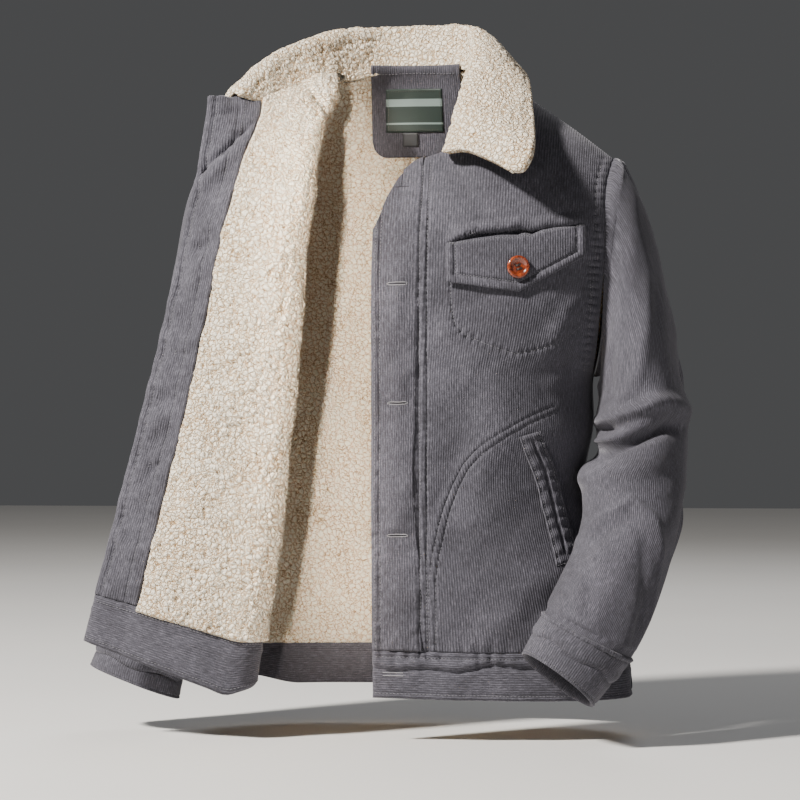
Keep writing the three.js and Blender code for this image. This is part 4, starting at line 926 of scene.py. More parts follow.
def placket_rise(x, z):
    """The placket strip is sewn down at its free edge and at the tuck, and softly full between."""
    rise = (groove(x, z, EDGE_LINE, 1.9, 1.5, 0.8, 7) + 0.9 * np.exp(-((x - 0) / 13) ** 2)
            + 1.5 * np.exp(-((x + 23) / 3.4) ** 2) * (0.6 + 0.6 * np.sin(z / 1.9 + np.sin(z / 19)))
            + 1.2 * soft_noise(x * 1.6, z, 19, 22) + 0.6 * soft_noise(x, z, 8, 23))
    for hole_z in BUTTONHOLES:
        rise = rise - 1.1 * np.exp(-((z - hole_z) / 3.5) ** 2 - ((x + 1) / 15) ** 2)
        rise = rise + 0.8 * np.exp(-((z - hole_z - 8) / 6) ** 2 - ((x + 1) / 17) ** 2)
    return np.maximum(rise, -0.9) * smooth((x + 28) / 3)


grid = left_front_grid(np.linspace(0, PLACKET_END - 0.006, 35), np.linspace(0.0035, 0.999, 301))
normals = grid_normals(grid, 1)
out, inn = rounded(PLACKET_TO, PLACKET_FROM, grid.shape[:2])
fullness = placket_rise(grid[..., 0], grid[..., 2])
placket = wall("left_placket_cloth", grid + normals * (out + fullness)[..., None], grid + normals * inn[..., None],
               front_grain(grid), corduroy)


def placket_run(points, lift):
    """A run on top of the placket, drawn in x and z."""
    p = line_points(points)
    return front_place(p[:, 0], p[:, 1], PLACKET_TO + placket_rise(p[:, 0], p[:, 1]) + lift)


# ---------------------------------------------------------------- back
grid = back_grid(np.linspace(-1 + EDGE_IN, 1 - EDGE_IN, 133), np.linspace(0.0003, 0.999, 181))
back = cloth_wall("back_shell_cloth", grid, shoulder_normals(grid, grid_normals(grid, -1)),
                  (SHELL_FROM, SHELL_TO), corduroy, uv=front_grain(grid))
# closer columns where the open front shows the lining
columns = np.concatenate([np.linspace(-1 + 0.0006, -0.6, 27)[:-1], np.linspace(-0.6, 0.06, 93)[:-1],
                          np.linspace(0.06, 1 - 0.0006, 61)])
grid = back_grid(columns, np.linspace(-0.01, 0.9995, 281))
pressed = (smooth((53 - np.abs(grid[..., 0])) / 6) * smooth((grid[..., 2] + 96) / 8))
back_lining = sherpa_wall("back_lining_sherpa", grid, shoulder_normals(grid, grid_normals(grid, -1)),
                          LINING_FROM, LINING_TO, seed=71, press=pressed, edge={"low"})

# ---------------------------------------------------------------- right front

def facing_width(up):
    return FACING_WIDTH + 10 * smooth((np.asarray(up) - 0.85) / 0.15)


def right_folds(from_edge, along):
    """Folds of the right front: from_edge runs in from its free edge, along runs up it, both in mm."""
    f = 1.6 * soft_noise(from_edge, along, 64, 31) + 0.9 * soft_noise(from_edge, along, 26, 32)
    edge_part = smooth((62 - from_edge) / 14)
    f += edge_part * (2.2 * soft_noise(from_edge * 1.3 + along * 0.5, along - from_edge * 0.6, 21, 33)
                      + 1.0 * soft_noise(from_edge + along * 0.4, along, 10, 34))
    f += crease(from_edge, along, [(-4, 470), (18, 492), (44, 524), (56, 540)], -5.0, 5)
    f += crease(from_edge, along, [(4, 458), (26, 482), (50, 508)], 4.0, 7)
    f += crease(from_edge, along, [(2, 540), (30, 546), (56, 540)], -3.0, 5)
    f += crease(from_edge, along, [(2, 300), (26, 282), (46, 300)], 2.8, 7)
    f += crease(from_edge, along, [(2, 178), (28, 150), (46, 170)], -3.0, 6)
    f += crease(from_edge, along, [(0, 84), (24, 52), (44, 64)], 3.0, 7)
    f += crease(from_edge, along, [(8, 408), (20, 380), (26, 340)], 2.6, 6)
    f += crease(from_edge, along, [(70, 560), (95, 420), (92, 260)], 2.2, 18)
    f += crease(from_edge, along, [(120, 420), (128, 250), (140, 60)], -2.6, 17)
    f += crease(from_edge, along, [(66, 250), (74, 120), (70, 10)], 2.0, 16)
    f += crease(from_edge, along, [(112, 566), (124, 535), (140, 508)], -4.5, 5)
    f += crease(from_edge, along, [(136, 566), (146, 535), (152, 505)], 3.5, 8)
    return f * smooth((from_edge + 4) / 12)


def right_cloth(shares, ups):
    """Grid of the right front with its folds, and its normals."""
    raw = right_front_grid(shares, ups)
    n = grid_normals(raw, 1)
    lengths = np.linalg.norm(np.diff(raw, axis=1), axis=-1)
    from_edge = np.concatenate([np.cumsum(lengths[:, ::-1], 1)[:, ::-1], np.zeros((len(raw), 1))], 1)
    along = np.broadcast_to(np.asarray(ups)[:, None] * RIGHT_FRONT_HEIGHT, from_edge.shape)
    return raw, n, from_edge, along


def from_side(spacing, inset):
    """Columns set by their distance from the free edge, so they run on evenly where a row's length changes."""
    def shares(length, up):
        start = inset(up) if callable(inset) else inset
        reach = length - SEAM_GAP - start
        t = 1 - spacing
        return length - start - (190 * t + (reach - 190) * t**4)
    return shares


ups = np.linspace(0.0003, 0.999, 203)
raw, n, from_edge, along = right_cloth(from_side(np.linspace(0, 1, 117), 0.4), ups)
grid = raw - n * right_folds(from_edge, along)[..., None]
right_shell_grid, right_shell_normals = grid, grid_normals(grid, 1)
right_front = cloth_wall("right_front_shell_cloth", grid, right_shell_normals, (SHELL_FROM, SHELL_TO), corduroy,
                         uv=edge_grain(from_edge, along))

ups = np.linspace(-0.01, 0.9985, 331)
raw, n, from_edge, along = right_cloth(from_side(np.linspace(0, 1, 141), lambda up: facing_width(up) + 0.4), ups)
from_edge = from_edge + facing_width(ups)[:, None]
grid = raw - n * right_folds(from_edge, along)[..., None]
right_lining = sherpa_wall("right_front_lining_sherpa", grid, grid_normals(grid, 1),
                           LINING_FROM, LINING_TO, seed=81, edge={"end", "low"}, height=3.0)

ups = np.linspace(0.0003, 0.999, 281)
raw, n, from_edge, along = right_cloth(
    lambda length, up: np.linspace(length - facing_width(up) + 0.4, length - 0.4, 31), ups)
grid = raw - n * right_folds(from_edge, along)[..., None]
normals = grid_normals(grid, 1)
seams = (groove(from_edge, along, [(FACING_SEAMS[0], 0), (FACING_SEAMS[0], RIGHT_FRONT_HEIGHT)], 1.3, 1.6, 0.5, 9)
         + groove(from_edge, along, [(FACING_SEAMS[1], 0), (FACING_SEAMS[1], RIGHT_FRONT_HEIGHT)], 1.2, 1.6, 0.5, 10)
         + 0.7 * np.exp(-((from_edge - 4) / 3) ** 2))
for mark in BUTTON_MARKS:
    seams -= 1.2 * np.exp(-((from_edge - 25) / 7) ** 2 - ((along - mark) / 4) ** 2)
out, inn = rounded(LINING_FROM, FACING_TO, grid.shape[:2])
facing_top = grid + normals * (inn - seams)[..., None]
right_facing = wall("right_facing_cloth", facing_top, grid + normals * out[..., None],
                    edge_grain(from_edge, along), corduroy)
facing_normals = -grid_normals(facing_top, 1)

# ---------------------------------------------------------------- hem bands
BAND_UPS = np.linspace(-BAND_SHARE, -0.0004, 27)


def band_relief(run, up):
    """The band is caught by a stitch line at each edge and buckles along its middle."""
    down = -up / BAND_SHARE * BAND_DEPTH
    wander = 17 + 3.0 * np.sin(run / 31) + 2.0 * np.sin(run / 11)
    relief = 0.8 * soft_noise(run, down * 2, 34, 51) + 0.5 * soft_noise(run, down, 13, 52)
    relief += -2.8 * np.exp(-((down - wander) / 2.2) ** 2) + 1.8 * np.exp(-((down - wander + 6.5) / 4.0) ** 2)
    relief += -1.3 * np.exp(-((down - 6) / 1.6) ** 2) - 1.2 * np.exp(-((down - 43) / 1.5) ** 2)
    return relief + 0.7 * np.sin(run / 2.0 + np.sin(run / 9)) * np.exp(-((down - 5) / 5) ** 2)


def hem_band(name, grid, turn):
    normals = grid_normals(grid, turn)
    uv = cloth_uv(grid)
    relief = band_relief(uv[..., 0] * 1000, np.broadcast_to(BAND_UPS[:, None], grid.shape[:2]))
    out, inn = rounded(BAND_TO, BAND_FROM, grid.shape[:2], 0.3)
    outer = grid + normals * (out + relief)[..., None]
    inner = grid + normals * (inn + 0.6 * relief)[..., None]
    obj = wall(name, outer, inner, uv[..., ::-1], corduroy)
    return obj, outer, inner


left_band, left_band_out, _ = hem_band(
    "left_hem_band_cloth", left_front_grid(np.linspace(0, 1 - EDGE_IN, 131), BAND_UPS), 1)
back_band, back_band_out, _ = hem_band(
    "back_hem_band_cloth", back_grid(np.linspace(-1 + EDGE_IN, 1 - EDGE_IN, 161), BAND_UPS), -1)
raw, n, from_edge, along = right_cloth(from_side(np.linspace(0, 1, 131), 0.4), BAND_UPS)
right_band, right_band_out, right_band_in = hem_band(
    "right_hem_band_cloth", raw - n * right_folds(from_edge, along * 0)[..., None], 1)


# ---------------------------------------------------------------- sleeves
def armhole_ring(turns, side):
    top = float(shoulder_z(SHOULDER_HALF_WIDTH))
    angle = turns * 2 * np.pi
    z = (top + UNDERARM_Z) / 2 + (top - UNDERARM_Z) / 2 * np.cos(angle)
    x = side_x(np.clip(z, UNDERARM_Z + 0.01, top), side)
    sx = side * x
    y = np.where(np.sin(angle) >= 0, body_y(sx, z, "front"), body_y(sx, z, "back"))
    underarm = 9 * np.abs(np.sin(angle)) * np.maximum(0, -np.cos(angle))
    return np.stack([side * (x + 1.1 + underarm), y, z], -1)


def sleeve_grid(rows, side, places, count):
    """Rings round the arm. Turn 0 is the outer side and a quarter turn is the front."""
    turns = np.arange(count) / count
    sections = read_sections(rows, np.maximum(places, 0))
    ox, oz, ix, iz, my, depth = (sections[:, k][:, None] for k in range(6))
    c, s = np.cos(turns * 2 * np.pi) * 0.5, np.sin(turns * 2 * np.pi)
    x = side * ((ox + ix) / 2 + (ox - ix) * c)
    z = (oz + iz) / 2 + (oz - iz) * c
    y = my - depth * s
    grid = np.stack([x, y, z], -1)
    ring = armhole_ring(turns, side)
    # the cuff's mouth is tipped: its front edge sits higher up the arm than its back edge
    before = np.array(rows[-2], float)
    axis = np.array([side * (rows[-1][0] + rows[-1][2] - before[0] - before[2]) / 2,
                     rows[-1][4] - before[4], (rows[-1][1] + rows[-1][3] - before[1] - before[3]) / 2])
    axis /= np.linalg.norm(axis)
    tip = MOUTH_TIP[side] * np.clip(places - (len(rows) - 2), 0, 1)[:, None] * (-0.62 * s - 0.1)
    grid = grid + tip[..., None] * axis
    share = smooth(places + 1)[:, None, None] ** 0.8
    blended = mix(ring[None], grid, share)
    return np.where((places < 0)[:, None, None], blended, grid), turns


def sleeve_cloth(side, rows, folds, places, count):
    grid, turns = sleeve_grid(rows, side, places, count)
    normals = grid_normals(grid, side, around=True)
    t, p = np.meshgrid(turns, places)
    return grid + normals * folds(t, p)[..., None]


def ring_crease(t, p, points, height, width):
    """A crease drawn by turn and place: a turn counts as 420 mm round and a place as 38 mm along."""
    wrapped = np.where(t > 0.75, t - 1, t)
    return crease(wrapped * 420, p * 38, [(a * 420, b * 38) for a, b in points], height, width)


def sleeve_head(t, p):
    """Fullness eased into the armhole, with small puckers all round."""
    near = np.exp(-((p + 0.55) / 0.42) ** 2)
    return near * (2.4 + 1.0 * np.sin(t * 2 * np.pi * 41 + np.sin(t * 37))) * (0.5 + 0.5 * np.cos(t * 2 * np.pi))


def left_sleeve_folds(t, p):
    f = 2.6 * soft_noise(t * 420, p * 38, 62, 91) + 1.2 * soft_noise(t * 420, p * 38, 27, 92)
    for points, height, width in (
        # the bend of the elbow: two ridges with deep valleys, running in to the inner side
        ([(0.52, 4.9), (0.45, 5.0), (0.31, 5.4), (0.19, 5.5), (0.04, 6.1), (-0.06, 6.2)], 9.0, 13),
        ([(0.47, 5.65), (0.42, 5.75), (0.33, 6.05)], -7.0, 8),
        ([(0.56, 6.5), (0.45, 6.55), (0.33, 6.6), (0.27, 6.3)], 4.5, 9),
        ([(0.52, 7.4), (0.42, 7.25), (0.28, 6.8), (0.15, 6.45), (0.07, 6.6)], -15.0, 11),
        ([(0.54, 8.3), (0.42, 8.3), (0.28, 7.9), (0.12, 7.6)], 6.5, 17),
        # the arched crease below it, and its line down the outer side to the cuff
        ([(0.54, 10.6), (0.5, 10.4), (0.4, 10.0), (0.31, 9.4), (0.25, 9.0), (0.18, 9.5), (0.148, 9.95),
          (0.088, 10.5), (0.04, 11.2), (0.04, 12.6)], 3.2, 4.5),
        ([(0.46, 10.7), (0.38, 10.4), (0.3, 9.9), (0.25, 9.6), (0.2, 10.0), (0.16, 10.5), (0.1, 11.2),
          (0.07, 12.4)], -3.4, 8),
        ([(0.12, 2.0), (0.2, 3.2), (0.26, 4.4)], 3.2, 13),
        ([(0.34, 1.6), (0.37, 3.0), (0.36, 4.4)], -3.2, 12),
        ([(0.56, 6.2), (0.66, 6.9), (0.78, 6.6)], 5.0, 14),
        ([(0.58, 7.4), (0.68, 7.9), (0.76, 7.6)], -4.2, 12),
        ([(-0.15, 3.2), (-0.08, 4.4), (-0.06, 5.6)], 2.6, 13),
        ([(0.3, 12.2), (0.34, 11.4), (0.36, 10.9)], 2.2, 9),
    ):
        f += ring_crease(t, p, points, height, width)
    near_cuff = np.exp(-((p - 12.95) / 0.3) ** 2)
    f += near_cuff * (-1.6 + 1.1 * np.sin(t * 2 * np.pi * 29 + np.sin(t * 23)))
    return f * smooth((p + 1) / 0.7) + sleeve_head(t, p)


def right_sleeve_folds(t, p):
    f = 2.4 * soft_noise(t * 400, p * 38, 60, 95) + 1.1 * soft_noise(t * 400, p * 38, 25, 96)
    for points, height, width in (
        ([(0.0, 5.2), (0.14, 5.5), (0.3, 6.2)], 5.0, 12), ([(0.02, 6.1), (0.16, 6.4), (0.32, 7.0)], -5.0, 10),
        ([(0.05, 7.2), (0.2, 7.4), (0.34, 7.0)], 4.4, 12), ([(0.6, 5.4), (0.7, 6.1), (0.8, 5.9)], 4.6, 13),
        ([(0.6, 6.8), (0.7, 7.3), (0.82, 6.9)], -4.0, 12), ([(0.1, 2.0), (0.2, 3.0), (0.26, 4.2)], 2.8, 13),
        ([(-0.12, 8.4), (0.02, 9.0), (0.16, 9.6)], 3.4, 12), ([(0.62, 2.0), (0.68, 3.4), (0.64, 4.6)], 3.0, 14),
    ):
        f += ring_crease(t, p, points, height, width)
    near_cuff = np.exp(-((p - 10.95) / 0.3) ** 2)
    f += near_cuff * (-1.4 + 1.0 * np.sin(t * 2 * np.pi * 27 + np.sin(t * 21)))
    return f * smooth((p + 1) / 0.7) + sleeve_head(t, p)


def cuff_relief(t, p, start):
    down = (p - start) * CUFF_DEPTH
    wander = 30 + 2.5 * np.sin(t * 2 * np.pi * 5)
    f = 0.9 * soft_noise(t * 260, down, 21, 55) - 2.0 * np.exp(-((down - wander) / 2.2) ** 2)
    f += 1.2 * np.exp(-((down - wander + 6) / 4) ** 2) + 1.5 * np.exp(-((down - 2) / 3) ** 2)
    f += -1.5 * np.exp(-((down - 7) / 1.5) ** 2) - 1.3 * np.exp(-((down - 55) / 1.5) ** 2)
    return f + 0.6 * np.sin(t * 2 * np.pi * 29) * np.exp(-((down - 4) / 5) ** 2)


sleeve_parts = {}
for name, rows, side, folds, start, length_lines, around_lines in (
        ("left", LEFT_SLEEVE, 1, left_sleeve_folds, 13, 185, 130),
        ("right", RIGHT_SLEEVE, -1, right_sleeve_folds, 11, 131, 104)):
    places = np.concatenate([np.linspace(-1, 0, 17)[:-1], np.linspace(0, start + 0.07, length_lines - 16)])
    smooth_end = lambda t, p, folds=folds, start=start: folds(t, p) * smooth((start - p) / 0.3)
    grid = sleeve_cloth(side, rows, smooth_end, places, around_lines)
    normals = grid_normals(grid, side, around=True)
    sleeve = cloth_wall(name + "_sleeve_cloth", grid, normals, (-1, 1), corduroy, around=True)
    cuff_places = np.linspace(start, start + 1, 31)
    cuff_folds = lambda t, p, start=start: cuff_relief(t, p, start)
    cuff_grid = sleeve_cloth(side, rows, cuff_folds, cuff_places, 96)
    cuff_normals = grid_normals(cuff_grid, side, around=True)
    cuff = cloth_wall(name + "_cuff_cloth", cuff_grid, cuff_normals, (-2.3, 2.3), corduroy, around=True)
    sleeve_parts[name] = {"sleeve": sleeve, "cuff": cuff, "cuff_grid": cuff_grid, "cuff_normals": cuff_normals}


# ---------------------------------------------------------------- collar
def collar_grid(shares, places):
    rows = read_sections(COLLAR, places)
    out = []
    for row, place in zip(rows, places):
        seam, roll, fall = row[:3], row[3:6], row[6:9]
        lift = np.array([0, 0, 1.0])
        points = np.array([seam, mix(seam, roll, 0.4), mix(seam, roll, 0.72) + lift, roll,
                           mix(fall, roll, 0.78) + 7 * lift, mix(fall, roll, 0.4) + 6 * lift, fall])
        curve, along = dense_curve(points, 12)
        rounded_off = 1 - 0.1 * math.exp(-(place / 0.22) ** 2)
        out.append(at_length(curve, along, shares * along[-1] * rounded_off))
    return np.array(out)


grid = collar_grid(np.linspace(0, 1, 97), np.linspace(0, 12, 261))
normals = grid_normals(grid, 1)
collar = sherpa_wall("collar_sherpa_pile", grid, normals, 0.3, 7.0, seed=101, height=1.7,
                     edge={"high", "end"})
grid = collar_grid(np.linspace(0, 0.985, 49), np.linspace(0.1, 11.75, 131))
under_collar = cloth_wall("under_collar_cloth", grid, grid_normals(grid, 1), (-2, 0), corduroy)


# ---------------------------------------------------------------- chest flap, button, welt
def flap_edge(x):
    inward = (x - FLAP_OUTLINE["inner"]) / (FLAP_OUTLINE["point_x"] - FLAP_OUTLINE["inner"])
    outward = (x - FLAP_OUTLINE["point_x"]) / (FLAP_OUTLINE["outer"] - FLAP_OUTLINE["point_x"])
    return np.where(inward < 1, mix(FLAP_OUTLINE["low_in"], FLAP_OUTLINE["point_z"], inward),
                    mix(FLAP_OUTLINE["point_z"], FLAP_OUTLINE["low_out"], outward))


def place_on_front(x, z, lift):
    """Over the body's smooth form: flap and welt are stiffer than the cloth below them."""
    y, step = body_y(x, z, "front"), 2.0
    n = np.stack([(body_y(x + step, z, "front") - body_y(x - step, z, "front")) / (2 * step), -np.ones_like(y),
                  (body_y(x, z + step, "front") - body_y(x, z - step, "front")) / (2 * step)], -1)
    n /= np.linalg.norm(n, axis=-1, keepdims=True)
    return np.stack([x, y, z], -1) + n * np.asarray(lift)[..., None], n


def right_outside(x, z, lift):
    """The same places on the right front's outside, which is turned to the back."""
    x, z = np.asarray(x, float), np.asarray(z, float)
    up = np.clip((z - SHELL_HEM_Z - 5) / (neck_top_z(x) - SHELL_HEM_Z - 5), -0.09, 0.93)
    from_edge = x + FRONT_EDGE_OVERLAP
    rows = (up - 0.0003) / (0.999 - 0.0003) * (len(right_shell_grid) - 1)
    middle = right_shell_grid[len(right_shell_grid) // 2]
    away = np.concatenate([np.cumsum(np.linalg.norm(np.diff(middle, axis=0), axis=-1)[::-1])[::-1], [0]])
    columns = np.interp(from_edge, away[::-1], np.arange(len(away))[::-1])
    shape = x.shape
    p, n = grid_run(right_shell_grid, right_shell_normals, rows.ravel(), columns.ravel(), 0.0)
    p, n = p.reshape(*shape, 3), n.reshape(*shape, 3)
    return p + n * np.asarray(lift)[..., None], n


# how each side puts a piece on its outside, and the room it leaves below it
FRONTS = {"left": (place_on_front, 0.0), "right": (right_outside, 0.6)}


def flap_surface(place, room, columns=109, rows=57):
    share, down = np.meshgrid(np.linspace(0, 1, columns), np.linspace(0, 1, rows))
    x = mix(FLAP_OUTLINE["inner"], FLAP_OUTLINE["outer"], share)
    top = slot_z(x) - slot_gap(x)
    low = flap_edge(x)
    z = mix(top, low, down)
    edge = np.minimum(np.minimum(x - FLAP_OUTLINE["inner"], FLAP_OUTLINE["outer"] - x), (z - low) * 0.95)
    lift = room + 0.9 + 1.4 * down**0.7 + 0.8 * soft_noise(x, z, 26, 25) * down
    lift -= 2.6 * smooth(1 - down / 0.1)
    relief = -1.5 * np.exp(-((edge - 8.6) / 1.5) ** 2) + 1.1 * np.exp(-((edge - 3.6) / 3) ** 2)
    relief += 0.5 * np.sin((x + z) / 1.5 + np.sin(x / 7)) * np.exp(-((edge - 6.5) / 3.5) ** 2)
    relief -= 0.9 * np.exp(-(((x - 118) / 11) ** 2 + ((z + 222.5) / 9) ** 2))
    out, inn = rounded(FLAP_TO, FLAP_FROM, x.shape, 0.3)
    outer, normal = place(x, z, lift + out + relief)
    inner, _ = place(x, z, lift + inn)
    return outer, inner, normal, x, z


def welt_surface(place, room):
    down, across = np.meshgrid(np.linspace(0, 1, 71), np.linspace(-1, 1, 23), indexing="ij")
    line = line_points(WELT_LINE, 1.0)
    run = np.linspace(0, 1, len(line))
    x = np.interp(down, run, line[:, 0]) + across * 10.0 + 1.2 * soft_noise(down * 130, across * 9, 17, 27)
    z = np.interp(down, run, line[:, 1]) + across * 3.0
    puckers = np.sin(down * 2 * np.pi * 10.5 + 0.8 * np.sin(down * 19))
    relief = (1.0 * puckers * np.exp(-((across - 0.55) / 0.4) ** 2)
              + 0.8 * puckers * np.exp(-((across + 0.6) / 0.35) ** 2)
              - 1.2 * np.exp(-((across - 0.78) / 0.14) ** 2) - 1.1 * np.exp(-((across + 0.8) / 0.14) ** 2))
    slit = smooth((0.95 - down) / 0.06) * smooth((down - 0.04) / 0.05) * (
        0.9 * np.exp(-((across - 0.22) / 0.12) ** 2) - 3.4 * np.exp(-((across - 0.02) / 0.1) ** 2))
    lift = room + 1.2 + 1.0 * np.sin(np.pi * down)
    out, inn = rounded(FLAP_FROM + 2.0, FLAP_FROM, x.shape, 0.35)
    outer, normal = place(x, z, lift + out + relief + slit)
    inner, _ = place(x, z, lift * 0.6 + inn)
    return outer, inner, normal, x, z


def button_mesh(name, centre, normal, spin=0.3):
    """A turned button: raised rounded rim, dished middle, four holes drawn as flat dark discs of painted shade, with
    thread through them.
    """
    profile = [(0.0, 1.9), (4.4, 1.95), (6.2, 2.15), (7.4, 2.9), (8.6, 3.9), (9.8, 4.2), (10.8, 3.9), (11.5, 3.0),
               (11.5, 1.6), (10.8, 0.7), (9.6, 0.2), (0.0, 0.0)]
    sides = 40
    normal = normal / np.linalg.norm(normal)
    side = np.cross(normal, [0, 0, 1.0])
    side /= np.linalg.norm(side)
    other = np.cross(normal, side)
    points, faces = [centre + normal * profile[0][1]], []
    for radius, height in profile[1:-1]:
        for k in range(sides):
            a = 2 * math.pi * k / sides
            points.append(centre + normal * height + radius * (math.cos(a) * side + math.sin(a) * other))
    points.append(centre + normal * profile[-1][1])
    ring = lambda i, k: 1 + i * sides + k % sides
    last = len(points) - 1
    for k in range(sides):
        faces.append((0, ring(0, k), ring(0, k + 1)))
        for i in range(len(profile) - 3):
            faces.append((ring(i, k), ring(i + 1, k), ring(i + 1, k + 1), ring(i, k + 1)))
        faces.append((ring(len(profile) - 3, k), last, ring(len(profile) - 3, k + 1)))
    body = new_object(name, np.array(points), faces, button_resin)
    # each hole is a flat dark disc: painted shade in place of the hole's depth
    hole_points, hole_faces, hole_size = [], [], 1.25
    for q in range(4):
        a = spin + math.pi / 4 + q * math.pi / 2
        middle = centre + normal * 2.04 + 2.7 * (math.cos(a) * side + math.sin(a) * other)
        start = len(hole_points)
        hole_points.append(middle)
        for k in range(12):
            b = 2 * math.pi * k / 12
            hole_points.append(middle + hole_size * (math.cos(b) * side + math.sin(b) * other))
        hole_faces += [(start, start + 1 + k, start + 1 + (k + 1) % 12) for k in range(12)]
    return body, (hole_points, hole_faces), [
        (centre + normal * 2.3 + 2.7 * (math.cos(a0) * side + math.sin(a0) * other),
         centre + normal * 2.3 + 2.7 * (math.cos(a1) * side + math.sin(a1) * other), normal)
        for a0, a1 in ((spin + math.pi / 4, spin + 3 * math.pi / 4), (spin + 5 * math.pi / 4, spin + 7 * math.pi / 4))]


details = {}
for side_name, (place, room) in FRONTS.items():
    outer, inner, normal, fx, fz = flap_surface(place, room)
    uv = np.stack([fx, fz + 300], -1) * 0.001
    details[side_name + "_flap"] = (
        wall(side_name + "_chest_flap_cloth", outer, inner, uv, corduroy), outer, normal, fx, fz)
    outer, inner, normal, wx, wz = welt_surface(place, room)
    uv = cloth_uv(outer)
    details[side_name + "_welt"] = (
        wall(side_name + "_pocket_welt_cloth", outer, inner, uv, corduroy), outer, normal, wx, wz)

# near-black finish for the hole discs: painted shade standing for the holes' depth
hole_shadow_finish, _, hole_shader = new_finish("button_hole_shadow", {"Roughness": 0.8})
hole_shader.inputs["Base Color"].default_value = srgb("#1C0D08")


def sewn_button(name, slot_node, centre, normal):
    """A button, its holes (flat discs of painted shade) and its thread, as one piece."""
    body, (hole_points, hole_faces), threads = button_mesh(name, centre, normal)
    holes = new_object(name + "_holes", np.array(hole_points), hole_faces, hole_shadow_finish)
    runs = []
    for a, b, n in threads:
        path = np.linspace(a, b, 8)
        runs.append((path, np.repeat(n[None] / np.linalg.norm(n), 8, 0)))
    points, faces = [], []
    for path, normals in runs:
        along = (path[-1] - path[0]) / np.linalg.norm(path[-1] - path[0])
        side = np.cross(along, normals[0])
        for shift in (-0.45, 0.45):
            start, rings = len(points), 7
            for k in range(rings):
                t = k / (rings - 1)
                middle = mix(path[0], path[-1], t) + normals[0] * (0.9 * math.sin(math.pi * t) - 0.7) + side * shift
                for q in range(6):
                    a = 2 * math.pi * q / 6
                    points.append(middle + 0.42 * (math.cos(a) * side + math.sin(a) * normals[0]))
            for k in range(rings - 1):
                for q in range(6):
                    a, b = start + k * 6 + q, start + k * 6 + (q + 1) % 6
                    faces.append((a, b, b + 6, a + 6))
    thread = new_object(name + "_thread", np.array(points), faces, dark_thread)
    bpy.ops.object.select_all(action="DESELECT")
    for part in (holes, thread, body):
        part.select_set(True)
    bpy.context.view_layer.objects.active = body
    bpy.ops.object.join()
    return finish_piece(body, "button", slot_node)


for side_name, (place, room) in FRONTS.items():
    x, z = np.array([118.0]), np.array([-222.5])
    centre, normal = place(x, z, np.array([FLAP_TO + room + 2.6]))
    sewn_button(side_name + "_flap_button_resin", side_name + "_flap_button", centre[0], normal[0])
for index, height in enumerate(BUTTONHOLES + [BAND_BUTTON_Z]):
    x, z = np.array([0.0]), np.array([float(height)])
    centre, normal = right_outside(x, z, np.array([3.0 if index < 4 else 3.4]))
    sewn_button("right_front_button_%d_resin" % (index + 1), "right_front_button_%d" % (index + 1),
                centre[0], normal[0])

# ---------------------------------------------------------------- neck patch, label and size tag
def neck_piece(left, right, top, bottom, columns, rows, corner=0.0):
    """A sheet on the inside of the back neck, with its lower corners rounded."""
    share, down = np.meshgrid(np.linspace(0, 1, columns), np.linspace(0, 1, rows))
    x = mix(left, right, share)
    near_side = np.minimum(x - left, right - x)
    low = bottom + (corner - np.sqrt(np.maximum(corner**2 - (corner - np.minimum(near_side, corner)) ** 2, 0))
                    if corner else 0)
    z = mix(top, low, down)
    y = body_y(x, z, "back") + back_folds(x, z)
    step = 1.0
    slope_x = (body_y(x + step, z, "back") - body_y(x - step, z, "back")) / 2
    slope_z = (body_y(x, z + step, "back") - body_y(x, z - step, "back")) / 2
    n = np.stack([slope_x, -np.ones_like(slope_x), slope_z], -1)
    n /= np.linalg.norm(n, axis=-1, keepdims=True)
    return np.stack([x, y, z], -1), n, x, z


grid, normals, nx, nz = neck_piece(-50.5, 50.5, 1.5, -92, 61, 53, corner=17)
edge = np.minimum(np.minimum(nx + 50.5, 50.5 - nx), nz + 92)
seam = -0.7 * np.exp(-((edge - 4) / 1.5) ** 2) + 0.5 * soft_noise(nx, nz, 24, 77)
out, inn = rounded(8.7, 6.9, grid.shape[:2])
patch_top, patch_normals = grid + normals * (out + seam)[..., None], normals
neck_patch = wall("neck_patch_cloth", patch_top, grid + normals * inn[..., None],
                  np.stack([nx, nz], -1) * 0.001, corduroy)
grid, normals, lx, lz = neck_piece(-35, 28, -19, -65, 41, 31)
out, inn = rounded(10.0, 9.0, grid.shape[:2], 0.3)
lift = 0.35 * soft_noise(lx, lz, 30, 78)
label_top, label_normals = grid + normals * (out + lift)[..., None], normals
neck_label = wall("neck_label_satin", label_top, grid + normals * (inn + lift)[..., None],
                  np.stack([lx + 35, -lz - 19], -1) * 0.001, label)
grid, normals, tx, tz = neck_piece(-16.5, 0, -65.5, -80, 13, 13)
out, inn = rounded(10.1, 9.2, grid.shape[:2], 0.3)
size_tag = wall("size_tag_tape", grid + normals * out[..., None], grid + normals * inn[..., None],
                np.stack([tx, tz], -1) * 0.001, tag)

